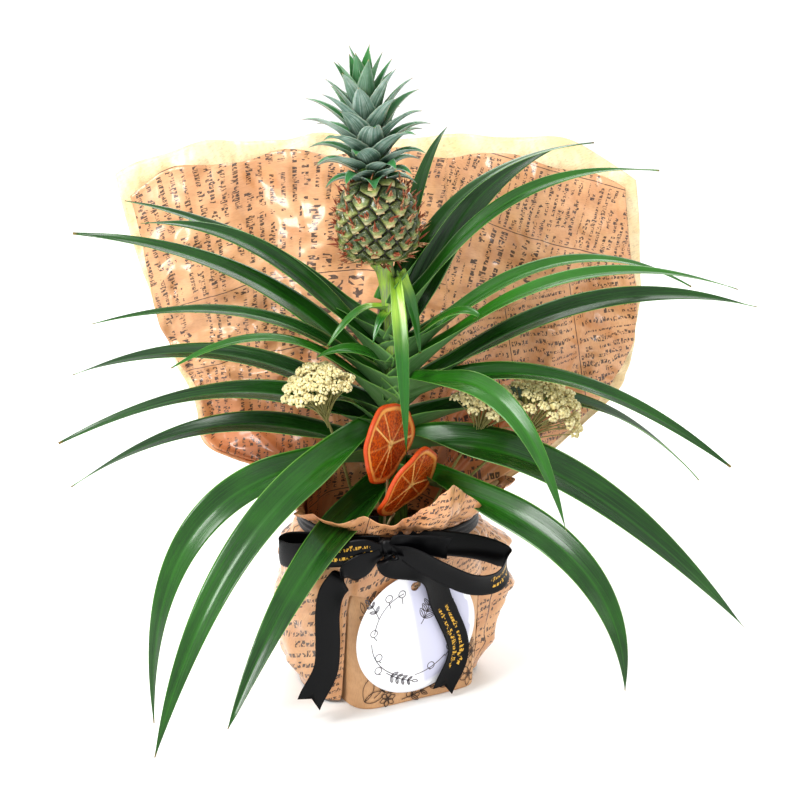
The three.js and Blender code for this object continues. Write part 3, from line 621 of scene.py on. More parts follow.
rind = fruitMaterial()
driedBract = bractMaterial()
fruit = gridObject("pineapple fruit", onFruit(body), [rind], closed=True, caps=True,
                   values={"edge": edge, "tone": eyeTone, "upper": lower})
finishPiece(fruit, ["pineapple_fruit"])


def fruitFrames(eyeShares, eyeTurns):
    # Outward, level and upward directions of the body under each eye, and the place there.
    r = fruitRadiusAt(eyeShares)
    drop = (fruitRadiusAt(eyeShares + 0.01) - fruitRadiusAt(eyeShares - 0.01)) / (0.02 * 0.077)
    flat = np.stack([np.cos(eyeTurns), np.sin(eyeTurns), np.zeros_like(eyeTurns)], -1)
    upward = unit(flat * drop[:, None] + [0, 0, 1])
    level = np.stack([-np.sin(eyeTurns), np.cos(eyeTurns), np.zeros_like(eyeTurns)], -1)
    outwards = np.cross(level, upward)
    place = flat * r[:, None] + np.stack([r * 0, r * 0, eyeShares * 0.077], -1)
    return place, outwards, level, upward


# A papery bract covers the lower part of each eye: a leaf-like triangle, hollow behind,
# whose tip bends out from the fruit. Width falls as 1 - t^1.5 along it.
place, outwards, level, upward = fruitFrames(eyeShare, eyeTurn)
keep = (eyeShare > 0.03) & (eyeShare < 0.97)
t = np.linspace(0, 1, 7)[None, :, None]
w = np.linspace(-1, 1, 7)[None, None, :]
reach = (rng.uniform(0.0065, 0.0110, eyeCount))[:, None, None]
halfWide = rng.uniform(0.0022, 0.0042, eyeCount)[:, None, None] * (1 - t ** 1.5) + 0.0002
tipOut = rng.uniform(0.0018, 0.0048, eyeCount)[:, None, None]
skew = rng.uniform(-0.002, 0.002, eyeCount)[:, None, None]
goUp = -0.0068 + reach * t + w * 0
goOut = 0.0004 + 0.0017 * np.sin(np.pi * t * 0.8) + tipOut * t ** 2.2 - 0.0009 * w ** 2 * (1 - t)
goSide = halfWide * w + skew * t ** 2
sheetOf = (place[:, None, None] + goUp[..., None] * upward[:, None, None]
           + goOut[..., None] * outwards[:, None, None] + goSide[..., None] * level[:, None, None])
back = sheetOf - 0.00035 * outwards[:, None, None]
bractPoints = np.concatenate([sheetOf, back[:, :, ::-1]], axis=2)[keep]
bractTip = np.broadcast_to(np.concatenate([t + w * 0, t + w * 0], 2), bractPoints.shape[:3])
bracts = manyGrids("fruit bracts", onFruit(bractPoints), [driedBract], True, {"tip": bractTip})
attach(bracts, "root")

# Dried flower remains: a few slender cones from the middle of each eye.
perEye = 4
spikeShare = np.repeat(eyeShare, perEye)
spikeTurn = np.repeat(eyeTurn, perEye)
place, outwards, level, upward = fruitFrames(spikeShare, spikeTurn)
count = len(spikeShare)
lean = (outwards * rng.uniform(0.5, 1.2, (count, 1)) + upward * rng.uniform(0.1, 1.1, (count, 1))
        + level * rng.uniform(-0.6, 0.6, (count, 1)))
sizes = rng.uniform(0.006, 0.0150, count) * np.where(rng.uniform(0, 1, count) > 0.35, 1, 0.35)
ring = np.linspace(0, 2 * np.pi, 5, endpoint=False)
shape = np.vstack([np.stack([0.0008 * np.cos(ring), 0.0008 * np.sin(ring), ring * 0], -1),
                   np.stack([0.0010 * np.cos(ring), 0.0010 * np.sin(ring), ring * 0 + 0.5], -1)])
shape = np.vstack([shape, [[0.00006, 0, 1.0]]])
turns = framesFrom(lean, rng.uniform(0, 6.3, count))
turns = turns * np.stack([np.ones(count), np.ones(count), sizes], -1)[:, None]
spikeQuads = [[i, (i + 1) % 5, 5 + (i + 1) % 5, 5 + i] for i in range(5)]
spikeTris = [[5 + i, 5 + (i + 1) % 5, 10] for i in range(5)]
spikes = place + outwards * 0.0004 + level * rng.uniform(-0.003, 0.003, (count, 1)) \
    + upward * rng.uniform(-0.002, 0.002, (count, 1))
c, s = math.cos(fruitTilt), math.sin(fruitTilt)
leaning = np.array([[c, 0, -s], [0, 1, 0], [s, 0, c]])
spikePiece = manyShapes("dried flower spikes", shape, spikeQuads, spikeTris,
                        np.einsum("ij,njk->nik", leaning, turns), onFruit(spikes), [driedBract],
                        {"tip": rng.uniform(0.5, 1.2, count)})
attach(spikePiece, "root")
print("stage: fruit")


crownLook = {
    "leaves": 52,
    "core": 0.0125,
    "outside": "#7b978b",
    "inside": "#3f7d45",
    "edge": "#b4c4ac",
    "bloom": "#d6e2db",
}


def crownMaterial():
    # Crown leaves under a thick grey bloom: bluish outside, greener within, pale at the rim, and darkened
    # towards each base as painted shade.
    material, tree, shader = newMaterial("crown leaf")
    place = objectPlace(tree)
    streaks = noise(tree, stretched(tree, flatPlace(tree), 900, 20, 1), 1.0, 2.0)
    cloud = noise(tree, place, 90, 3.0)
    outside = colourMix(tree, ramp(tree, streaks, 0.35, 0.7, 0.0, 0.7), linearColour(crownLook["outside"]),
                        linearColour(crownLook["bloom"]))
    inside = colourMix(tree, ramp(tree, streaks, 0.35, 0.7, 0.0, 0.5), linearColour(crownLook["inside"]),
                       linearColour("#2f6b3a"))
    colour = colourMix(tree, attribute(tree, "under"), inside, outside)
    colour = colourMix(tree, ramp(tree, cloud, 0.4, 0.7, 0.0, 0.4), colour, linearColour("#2f5542"))
    # Painted shade: each leaf darkens towards its base, deep in the crown.
    colour = colourMix(tree, ramp(tree, attribute(tree, "along"), 0.0, 0.5, 0.85, 0.0), colour,
                       linearColour("#1d3a24"))
    colour = colourMix(tree, ramp(tree, attribute(tree, "young"), 0.74, 0.95, 0.0, 0.75), colour,
                       linearColour("#2f7432"))
    colour = colourMix(tree, ramp(tree, attribute(tree, "across"), 0.85, 1.0, 0.0, 0.4), colour,
                       linearColour(crownLook["edge"]))
    colour = colourMix(tree, ramp(tree, attribute(tree, "along"), 0.93, 1.0, 0.0, 0.7), colour,
                       linearColour("#a98a5e"))
    put(tree, shader, {"Base Color": colour, "Roughness": 0.36, "IOR": 1.42,
                       "Subsurface Weight": 0.08, "Subsurface Scale": 0.001, "Coat Weight": 0.3,
                       "Coat Roughness": 0.25})
    bump(tree, shader, streaks, 0.00015)
    return material


# Each leaf is a broad spear on the golden-angle spiral: the lowest lie nearly level and
# bend down at the tip, the highest stand up. Width rises quickly, then falls to a point
# with small teeth, over a hollow, folded section.
leafCount = crownLook["leaves"]
k = np.arange(leafCount)
level01 = k / (leafCount - 1)
rng = np.random.default_rng(11)
climb = np.radians(np.interp(level01, [0, 0.2, 0.45, 0.72, 1], [2, 16, 32, 56, 84])
                   + rng.uniform(-5, 5, leafCount))
reach = np.interp(level01, [0, 0.15, 0.4, 0.65, 1], [0.031, 0.039, 0.056, 0.053, 0.043]) \
    * rng.uniform(0.92, 1.06, leafCount)
bendDown = np.interp(level01, [0, 0.4, 0.8, 1], [0.010, 0.012, 0.002, -0.002])
wide = np.interp(level01, [0, 0.3, 1], [0.0240, 0.0290, 0.0245])
ahead = heading(137.5077 * k + rng.uniform(-6, 6, leafCount))
level = np.cross([0, 0, 1.0], ahead)
coreHeight = 0.0705 + 0.073 * level01 ** 1.25
start = (ahead * (crownLook["core"] * (1 - level01) ** 0.5 * 0.75)[:, None]
         + coreHeight[:, None] * [0, 0, 1])
t = np.linspace(0, 1, 26)
arc = reach[:, None] * t
outwards = arc * np.cos(climb)[:, None] + 0.10 * reach[:, None] * np.sin(climb)[:, None] * t ** 2
upwards = arc * np.sin(climb)[:, None] + reach[:, None] * 0.22 * np.sin(np.pi * t * 0.55) \
    * np.cos(climb)[:, None] - bendDown[:, None] * t ** 3
path = start[:, None] + outwards[..., None] * ahead[:, None] + upwards[..., None] * [0, 0, 1.0]
tangent = unit(np.gradient(path, axis=1))
above = np.cross(tangent, level[:, None])
teeth = 1 + 0.035 * (triangleWave(t * 15) > 0.3) * (t < 0.92)
half = wide[:, None] / 2 * (0.72 + 0.28 * smoothStep(t, 0, 0.25)) * np.maximum(1 - t ** 1.65, 0.02) * teeth
w = np.linspace(-1, 1, 9)
hollow = np.sqrt(w ** 2 + 0.04) - 0.2
across = half[..., None] * w * 0.93
lift = half[..., None] * hollow * 0.5
thick = 0.0011 * blend(1.0, 0.4, t)[None, :, None] * (1 - 0.8 * np.abs(w) ** 3) / 2
thick = np.minimum(thick, half[..., None] * 0.4)
surface = lambda d: (path[:, :, None] + across[..., None] * level[:, None, None]
                     + (lift + d)[..., None] * above[:, :, None])
crownPoints = np.concatenate([surface(-thick), surface(thick)[:, :, ::-1]], axis=2)
shape = crownPoints.shape[:3]
wAll = np.concatenate([w, w[::-1]])
uv = np.stack([np.broadcast_to(wAll * 0.01, shape) + k[:, None, None] * 0.3,
               np.broadcast_to((t * 0.05)[None, :, None], shape)], -1)
crown = manyGrids("fruit crown", onFruit(crownPoints), [crownMaterial()], True,
                  {"across": np.broadcast_to(np.abs(wAll), shape),
                   "under": np.broadcast_to(np.repeat([1.0, 0.0], 9), shape),
                   "young": np.broadcast_to(level01[:, None, None], shape),
                   "along": np.broadcast_to(t[None, :, None], shape)}, uv)
finishPiece(crown, ["fruit_crown"])
corePath = np.stack([np.zeros(24), np.zeros(24), np.linspace(0.0745, 0.150, 24)], -1)
coreRadius = crownLook["core"] * np.sqrt(np.clip(1.02 - np.linspace(0, 1, 24) ** 2, 0.001, 1))
core = gridObject("crown core", onFruit(tubeGrid(corePath, coreRadius, 20, (1, 0, 0))), [stemFlesh],
                  closed=True, caps=True)
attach(core, "root")
print("stage: crown")


paperLook = {
    "kraft": "#c28c60",
    "kraftWarm": "#d6a477",
    # cream and creamWarm paint the outer sheet's single layer as lit through from behind: a painted glow.
    "cream": "#efdeb6",
    "creamWarm": "#e8cc9a",
    "ink": "#2b1c16",
    "inkStrength": 0.9,
    "rowPitch": 0.0068,          # body rows of marks
    "middlePitch": 0.0105,
    "headPitch": 0.0185,
    "columnWidth": 0.064,
    "blockHeight": 0.075,
    "gloss": 0.8,
}


def markRows(tree, along, across, pitch, seed, bold=False):
    # Rows of fine scribble: cut-off noise, taller than wide, kept inside each row's band and
    # broken by gaps. It has the rhythm of newsprint, and nothing in it can be read.
    rowAt = maths(tree, "DIVIDE", across, pitch)
    row = maths(tree, "FLOOR", rowAt)
    y = maths(tree, "FRACT", rowAt)
    cellAt = maths(tree, "ADD", maths(tree, "DIVIDE", along, pitch * 0.5),
                   maths(tree, "MULTIPLY", row, 7.31))
    cell = maths(tree, "FLOOR", cellAt)
    x = maths(tree, "FRACT", cellAt)
    spot = addNode(tree, "CombineXYZ", {0: cell, 1: row, 2: seed}).outputs[0]
    dots = addNode(tree, "TexWhiteNoise", {"Vector": spot}).outputs[1]
    dice = addNode(tree, "SeparateColor", {0: dots})
    r, g, b = dice.outputs
    runs = noise(tree, addNode(tree, "CombineXYZ", {0: maths(tree, "MULTIPLY", cell, 0.29),
                                                    1: maths(tree, "MULTIPLY", row, 3.7), 2: seed}), 1.0, 0.0)
    word = maths(tree, "GREATER_THAN", runs, 0.37)
    tall = maths(tree, "MULTIPLY", maths(tree, "GREATER_THAN", r, 0.66), 0.11)
    low = maths(tree, "MULTIPLY", maths(tree, "GREATER_THAN", g, 0.85), 0.10)
    middle = maths(tree, "SUBTRACT", maths(tree, "ADD", 0.45, tall), low)
    band = maths(tree, "COMPARE", y, middle, maths(tree, "ADD", maths(tree, "ADD", tall, low), 0.19))
    strokeAt = addNode(tree, "CombineXYZ", {0: maths(tree, "MULTIPLY", cellAt, 3.0),
                                            1: maths(tree, "MULTIPLY", rowAt, 3.4), 2: seed * 3.3})
    strokes = noise(tree, strokeAt, 1.0, 0.0, 0.4)
    strokes = maths(tree, "GREATER_THAN", strokes,
                    maths(tree, "ADD", 0.43, maths(tree, "MULTIPLY", b, 0.06)))
    if bold:
        loopAt = addNode(tree, "CombineXYZ", {0: maths(tree, "MULTIPLY", cellAt, 1.7),
                                              1: maths(tree, "MULTIPLY", rowAt, 2.6), 2: seed})
        loops = noise(tree, loopAt, 1.0, 0.0)
        strokes = maths(tree, "COMPARE", loops, 0.5, 0.075)
    inside = maths(tree, "COMPARE", x, 0.46, 0.41)
    ink = maths(tree, "MULTIPLY", maths(tree, "MULTIPLY", strokes, band), inside)
    return maths(tree, "MULTIPLY", ink, word)


def newsprintInk(tree, place):
    # Columns cut into blocks; each block draws its own size of marks.
    parts = addNode(tree, "SeparateXYZ", {0: place})
    along, across = parts.outputs[0], parts.outputs[1]
    columnAt = maths(tree, "DIVIDE", along, paperLook["columnWidth"])
    column = maths(tree, "FLOOR", columnAt)
    inColumn = maths(tree, "FRACT", columnAt)
    offset = addNode(tree, "TexWhiteNoise", {"W": column}, noise_dimensions="1D").outputs[0]
    blockAt = maths(tree, "ADD", maths(tree, "DIVIDE", across, paperLook["blockHeight"]), offset)
    block = maths(tree, "FLOOR", blockAt)
    inBlock = maths(tree, "FRACT", blockAt)
    spot = addNode(tree, "CombineXYZ", {0: column, 1: block, 2: 4.0}).outputs[0]
    kind = addNode(tree, "TexWhiteNoise", {"Vector": spot}).outputs[0]
    body = markRows(tree, along, across, paperLook["rowPitch"], 1.0)
    middle = markRows(tree, along, across, paperLook["middlePitch"], 2.0)
    head = markRows(tree, along, across, paperLook["headPitch"], 3.0, True)
    ink = addNode(tree, "Mix", {0: maths(tree, "GREATER_THAN", kind, 0.78), 2: body, 3: middle}).outputs[0]
    ink = addNode(tree, "Mix", {0: maths(tree, "GREATER_THAN", kind, 0.92), 2: ink, 3: head}).outputs[0]
    frameMask = maths(tree, "MULTIPLY", maths(tree, "COMPARE", inColumn, 0.5, 0.465),
                      maths(tree, "COMPARE", inBlock, 0.5, 0.47))
    rule = maths(tree, "MULTIPLY", maths(tree, "COMPARE", inColumn, 0.006, 0.007),
                 maths(tree, "GREATER_THAN", offset, 0.45))
    ink = maths(tree, "MAXIMUM", maths(tree, "MULTIPLY", ink, frameMask), rule)
    worn = ramp(tree, noise(tree, place, 260, 2.0), 0.22, 0.5, 0.45, 1.0)
    return maths(tree, "MULTIPLY", ink, worn)


def paperMaterial(name, colour, warm, inkStrength, gloss):
    # Thin waxed kraft paper, printed and then crumpled: fibres and a mottled pulp colour,
    # worn ink, and a glossy face that catches the light on every crease.
    material, tree, shader = newMaterial(name)
    place = flatPlace(tree)
    pulp = noise(tree, place, 45, 4.0)
    fibre = noise(tree, stretched(tree, place, 900, 250, 1), 1.0, 3.0)
    base = colourMix(tree, ramp(tree, pulp, 0.3, 0.7), linearColour(colour), linearColour(warm))
    base = colourMix(tree, ramp(tree, fibre, 0.4, 0.75, 0.0, 0.22), base, linearColour("#8a6242"))
    # The shade attribute paints a warm orange glow of light through the paper where a piece asks for it.
    deep = attribute(tree, "shade")
    base = colourMix(tree, maths(tree, "MULTIPLY", deep, 0.85), base, linearColour("#bb5f26"))
    if inkStrength > 0:
        ink = newsprintInk(tree, place)
        base = colourMix(tree, maths(tree, "MULTIPLY", ink, inkStrength), base,
                         linearColour(paperLook["ink"]))
    put(tree, shader, {"Base Color": base, "Roughness": 0.5, "IOR": 1.48, "Coat Weight": gloss,
                       "Coat Roughness": 0.22})
    bump(tree, shader, fibre, 0.0001)
    return material


newsprint = paperMaterial("newsprint kraft paper", paperLook["kraft"], paperLook["kraftWarm"],
                          paperLook["inkStrength"], paperLook["gloss"])
# The outer sheet's pale cream is a painted glow of light through a single layer of paper.
backlitGlowPaper = paperMaterial("backlit paper with painted glow", paperLook["cream"], paperLook["creamWarm"], 0.12, 0.3)
plainKraft = paperMaterial("plain kraft paper", "#c79a70", "#d2a67c", 0.0, 0.12)


def solidSheet(piece, thickness):
    # Real thickness for a sheet, centred on its surface.
    thicken = piece.modifiers.new("paper thickness", "SOLIDIFY")
    thicken.thickness = thickness
    thicken.offset = 0


backSheet = {
    "columns": 232,
    "rows": 180,
    "spacing": 0.0042,
    "thickness": 0.0003,
    "creases": [(0.19, 0.0130), (0.085, 0.0074), (0.036, 0.0027), (0.016, 0.0007)],
}
tuckShare = 1 / 9


def fanSurface(u, v):
    # Upright in the neck for the first ninth, then a cubic Bezier with its two middle
    # points together: up, out and back.
    side = 2 * u - 1
    square = side ** 2
    foot = heading(blend(184.0, -4.0, u)) * 0.0764
    low = foot + blend(0.1366, 0.1776, v / tuckShare)[..., None] * [0, 0, 1]
    foot = foot + [0, 0, 0.1776]
    knee = np.stack([0.022 + side * 0.2342, 0.105 + 0.015 * square, 0.2996 - 0.052 * square], -1)
    top = np.stack([-0.012 + side * 0.246, 0.175 - 0.03 * square, 0.4776 - 0.035 * square ** 3], -1)
    t = ((v - tuckShare) / (1 - tuckShare))[..., None]
    curve = foot * (1 - t) ** 3 + knee * (3 * t * (1 - t) ** 2 + 3 * t ** 2 * (1 - t)) + top * t ** 3
    return np.where((v < tuckShare)[..., None], low, curve)


def printPlace(points, split, leftAngle, rightAngle):
    # The print's own flat place: the sheet seen from the front, turned so that rows run up
    # the left part and nearly level over the right part, as two gathered halves.
    x = points[..., 0]
    z = points[..., 2] - 0.16
    fanTurn = blend(0.0, 24.0, np.clip((split - x) / 0.3, 0, 1))
    raised = (x >= split) & (z > 0.145 + 0.35 * (x - split))
    beyondSplit = np.where(raised, leftAngle - 3, rightAngle)
    angle = np.radians(np.where(x < split, leftAngle + fanTurn, beyondSplit))
    return np.stack([x * np.cos(angle) + z * np.sin(angle) + (x >= split) * 0.7 + raised * 0.9,
                     z * np.cos(angle) - x * np.sin(angle)], -1)


def makeBackSheet(name, inner, material, seed):
    # The fan surface with a wavy cut edge, pushed along its normals by the creases and by
    # soft gathers that fade away from the neck.
    rows, columns = backSheet["rows"], backSheet["columns"]
    v = np.linspace(0, 1, rows)[:, None] * np.ones(columns)
    u = np.linspace(0.004, 0.996, columns)[None] * np.ones((rows, 1))
    rng = np.random.default_rng(seed)
    ragged = 0.006 * sum(rng.uniform(-1, 1) * np.sin(u * n * np.pi + rng.uniform(0, 6))
                         for n in (2, 5, 9, 17))
    limit = 0.972 if inner else 1.0
    used = blend(0.0, limit, v) + ragged * smoothStep(v, 0.6, 1)
    sides = 0.006 * np.sin(v * 13 + seed) * (2 * u - 1) * smoothStep(v, 0.2, 0.6)
    a = blend(0.008, 0.985, u) if inner else u
    base = fanSurface(a + sides, used)
    normal = surfaceNormals(base)
    # Both sheets take their creases from their shared surface, so they nest.
    across, rise = a + sides, used
    reach = smoothStep(rise, 0.10, 0.5)
    folds = crumple(across * 0.5, rise * 0.42, 21, backSheet["creases"]) * blend(0.25, 1.0, reach)
    folds = folds + crumple(across * 0.9, rise * 0.11, 44, [(0.13, 0.0080), (0.05, 0.0026)]) * reach
    gathers = (0.0034 * np.sin(across * 2 * np.pi * 11 + 1.4 * np.sin(across * 17))
               * smoothStep(rise, 0.06, 0.2) * smoothStep(rise, 0.75, 0.25))
    own = crumple(u * 0.5, v * 0.42, seed, [(0.05, 0.0004)])
    lift = backSheet["spacing"] if inner else 0.0
    points = base + normal * (folds + gathers + own + lift)[..., None]
    # The lower left corner bellies out over the pot, where the sheets are folded over.
    belly = np.exp(-(u / 0.10) ** 2) * np.exp(-((v - 0.30) / 0.10) ** 2)
    points = points + belly[..., None] * [-0.026, 0.004, -0.012]
    # Where the two sheets leave each other at the edge, the outer one leans back a little.
    if not inner:
        points[..., 1] += 0.006 * smoothStep(v, 0.7, 1.0)
    # Painted light: a warm orange glow of light through the paper, over the lower part of the sheet in broad
    # bands.
    shade = smoothStep(v, 0.60, 0.2) * (0.55 + 0.45 * np.sin(u * 9 + 1)) * 0.9
    uv = printPlace(points, 0.055, 78.0, 8.0) if inner else printPlace(points, 9.0, 90.0, 0.0)
    piece = gridObject(name, points, [material], uv, {"shade": shade})
    solidSheet(piece, backSheet["thickness"])
    nodes = ["back_sheet_inner"] if inner else ["back_sheet_outer"]
    finishPiece(piece, nodes)


makeBackSheet("back sheet inner", True, newsprint, 5)
makeBackSheet("back sheet outer", False, backlitGlowPaper, 8)
print("stage: back sheets")


sleeve = {"turn": 28.0, "height": 0.118, "lineWidth": 0.0007, "lineColour": "#3b2a20"}


def sleeveHalf(z):
    # Half its side: 63 mm at the foot, 72 mm at the top.
    return 0.063 + 0.009 * z / sleeve["height"]


def sleevePoint(angle, z, lift=0.0):
    # A rounded square: half-width over the fourth-to-seventh-power mean of cos and sin.
    a = np.abs(np.cos(np.radians(angle - sleeve["turn"])))
    b = np.abs(np.sin(np.radians(angle - sleeve["turn"])))
    power = blend(7.0, 4.0, z / sleeve["height"])
    r = sleeveHalf(z) / (a ** power + b ** power) ** (1 / power) + lift
    return heading(angle) * r[..., None] + z[..., None] * [0, 0, 1.0]


def panelPoint(along, z, lift, panelTurn=-62.0):
    # A flat place on a panel of the sleeve, found by its angle from the middle of the panel.
    along, z = np.broadcast_arrays(np.asarray(along, float), np.asarray(z, float))
    angle = panelTurn + np.degrees(np.arctan2(along, sleeveHalf(z)))
    return sleevePoint(angle, z, lift)


def makeSleeve():
    # A closed shell: in over the base, up outside, over the rim, down inside.
    angle = np.linspace(0, 360, 361)[:-1]
    wallZ = np.linspace(0.0006, sleeve["height"] - 0.0004, 90)
    lengths = np.radians(angle)[None] * 0.066
    off = np.abs((angle - (-62) + 540) % 360 - 180)
    sideOnly = smoothStep(off, 45, 60)
    wrinkle = crumple(lengths * np.ones((90, 1)), wallZ[:, None] * np.ones(360), 6,
                      [(0.05, 0.0009), (0.02, 0.0004)]) * (0.12 + 0.88 * sideOnly)
    wrinkle = np.minimum(wrinkle, 0.0008)
    grid = lambda z, lift: sleevePoint(angle[None] * np.ones((len(z), 1)),
                                       z[:, None] * np.ones(360), lift)
    wall = grid(wallZ, wrinkle)
    insideWall = grid(wallZ[::-1], wrinkle[::-1] - 0.0006)
    floorShare = np.linspace(0.1, 0.985, 8)[:, None, None]
    ring = grid(np.array([0.0]), 0.0)
    base = ring * [1, 1, 0] * floorShare
    top = ring * [1, 1, 0] * floorShare[::-1] * 0.98 + [0, 0, 0.0009]
    points = np.concatenate([base, wall, insideWall, top])
    around = np.linspace(0, 0.53, 361)
    height = np.concatenate([base[:, 0, 2], wallZ, wallZ[::-1], top[:, 0, 2]])
    uv = np.stack(np.broadcast_arrays(around[None], height[:, None]), -1)
    piece = gridObject("printed sleeve", points, [plainKraft], uv,
                       {"shade": np.zeros(points.shape[:2])}, True, True)
    finishPiece(piece, ["printed_sleeve"])


def resample(path, count=28):
    # Even steps along a path of listed or computed points.
    path = np.asarray(path, float)
    runs = np.concatenate([[0], np.cumsum(np.linalg.norm(np.diff(path, axis=0), axis=1))])
    even = np.linspace(0, runs[-1], count)
    return np.stack([np.interp(even, runs, path[:, i]) for i in range(2)], -1)


def leafOutline(at, angle, length, width):
    # A closed spear outline: width times sin(pi t)^0.8 on both sides of its axis.
    t = np.linspace(0, 1, 16)
    half = width / 2 * np.sin(np.pi * t) ** 0.8
    x = np.concatenate([t, t[::-1]]) * length
    y = np.concatenate([half, -half[::-1]])
    c, s = math.cos(angle), math.sin(angle)
    return np.stack([at[0] + x * c - y * s, at[1] + x * s + y * c], -1)


def ringPath(at, radius, start=0.0, end=2 * math.pi, wobble=0.0):
    # A circle whose radius swells by wobble times sin(3 a + 1).
    a = np.linspace(start, end, 40)
    r = radius * (1 + wobble * np.sin(3 * a + 1))
    return np.stack([at[0] + r * np.cos(a), at[1] + r * np.sin(a)], -1)


def sprig(at, angle, length, pairs, leafLength, leafWidth, bend=0.4):
    # A bent stem with paired leaves, each with its midrib, and one leaf at its tip.
    t = np.linspace(0, 1, 20)
    turn = angle + bend * t
    step = length / 19
    stem = np.array(at) + np.cumsum(np.stack([np.cos(turn), np.sin(turn)], -1) * step, axis=0)
    paths = [stem]
    for i in range(pairs):
        share = (i + 1) / (pairs + 0.6)
        k = int(share * 19)
        size = 1 - 0.35 * share
        for way in (-1, 1):
            tilt = turn[k] + way * 0.85
            paths.append(leafOutline(stem[k], tilt, leafLength * size, leafWidth * size))
            paths.append(np.array([stem[k], stem[k] + np.array([math.cos(tilt), math.sin(tilt)])
                                   * leafLength * size * 0.8]))
    paths.append(leafOutline(stem[-1], turn[-1], leafLength * 0.8, leafWidth * 0.8))
    return paths


def flower(at, radius, petals):
    # Petals set evenly round a small ring.
    paths = [leafOutline(at, a, radius, radius * 0.55)
             for a in np.linspace(0, 2 * math.pi, petals, endpoint=False) + 0.3]
    return paths + [ringPath(at, radius * 0.18)]


def lineWork(name, paths, width, placeOf, material):
    # Printed lines as flat strips: each path gets a left and right edge half a width off.
    paths = np.stack([resample(p) for p in paths])
    tangent = unit(np.gradient(paths, axis=1))
    normal = np.stack([-tangent[..., 1], tangent[..., 0]], -1)
    left, right = paths + normal * width / 2, paths - normal * width / 2
    strips = np.stack([placeOf(left[..., 0], left[..., 1]), placeOf(right[..., 0], right[..., 1])], 2)
    piece = manyGrids(name, strips, [material])
    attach(piece, "root")
    return piece


def flatInk(name, colour, roughness=0.6):
    # Matt printing ink: one even colour that sits on the paper.
    material, tree, shader = newMaterial(name)
    place = objectPlace(tree)
    tone = colourMix(tree, ramp(tree, noise(tree, place, 400, 2.0), 0.3, 0.7, 0.0, 0.35),
                     linearColour(colour), linearColour("#6b5648"))
    put(tree, shader, {"Base Color": tone, "Roughness": roughness, "IOR": 1.45})
    return material


brownInk = flatInk("brown print", sleeve["lineColour"])
greyInk = flatInk("grey print", "#4a4a52")

makeSleeve()
panelPaths = (
    sprig((-0.050, 0.010), 0.55, 0.040, 3, 0.019, 0.008, 0.9)
    + sprig((-0.050, 0.060), 1.7, 0.036, 3, 0.016, 0.006)
    + sprig((0.006, 0.012), 0.1, 0.030, 3, 0.013, 0.005, 0.5)
    + sprig((0.044, 0.018), 1.35, 0.050, 4, 0.016, 0.007)
    + sprig((-0.058, 0.034), 1.5, 0.018, 2, 0.010, 0.004)
    + sprig((-0.040, 0.098), 0.4, 0.026, 2, 0.012, 0.005)
    + [leafOutline((-0.059, 0.008), 1.25, 0.026, 0.012), leafOutline((-0.059, 0.008), 0.35, 0.024, 0.010)]
    + flower((-0.034, 0.008), 0.008, 6) + sprig((-0.060, 0.090), 1.0, 0.030, 3, 0.014, 0.006)
    + sprig((-0.022, 0.004), 0.12, 0.046, 4, 0.010, 0.004) + flower((0.056, 0.036), 0.012, 6)
    + flower((0.052, 0.014), 0.012, 6) + flower((0.030, 0.100), 0.009, 6)
    + [ringPath((-0.012, 0.008), 0.003), ringPath((-0.004, 0.006), 0.0022), ringPath((0.054, 0.045), 0.003)])
lineWork("sleeve print front", panelPaths, sleeve["lineWidth"],
         lambda a, z: panelPoint(a, z, 0.0009), brownInk)
lineWork("sleeve print right", sprig((-0.044, 0.014), 1.1, 0.05, 4, 0.017, 0.007)
         + sprig((0.0, 0.012), 1.4, 0.04, 4, 0.014, 0.006) + flower((0.02, 0.05), 0.010, 7)
         + sprig((-0.020, 0.070), 2.0, 0.03, 3, 0.013, 0.005), sleeve["lineWidth"],
         lambda a, z: panelPoint(a, z, 0.0009, 28.0), brownInk)


wrapShape = {
    "columns": 376,
    "rows": 126,
    "thickness": 0.0003,
    "creases": [(0.085, 0.0078), (0.045, 0.0054), (0.020, 0.0018)],
}


def wrapRadius(turn, z):
    # Smooth steps between listed radii: foot, belly, shoulder, neck and collar.
    heights = np.array([0, 0.0354, 0.0897, 0.1219, 0.1506, 0.1726, 0.2016])
    radii = np.array([0.084, 0.093, 0.101, 0.097, 0.080, 0.080, 0.095])
    k = np.clip(np.searchsorted(heights, z) - 1, 0, 5)
    s = smoothStep((z - heights[k]) / (heights[k + 1] - heights[k]), 0, 1)
    sideways = 1 + (0.06 * np.cos(np.radians(turn)) * smoothStep(z, 0, 0.0897)
                    * (1 - smoothStep(z, 0.1219, 0.1506)))
    return blend(radii[k], radii[k + 1], s) * sideways


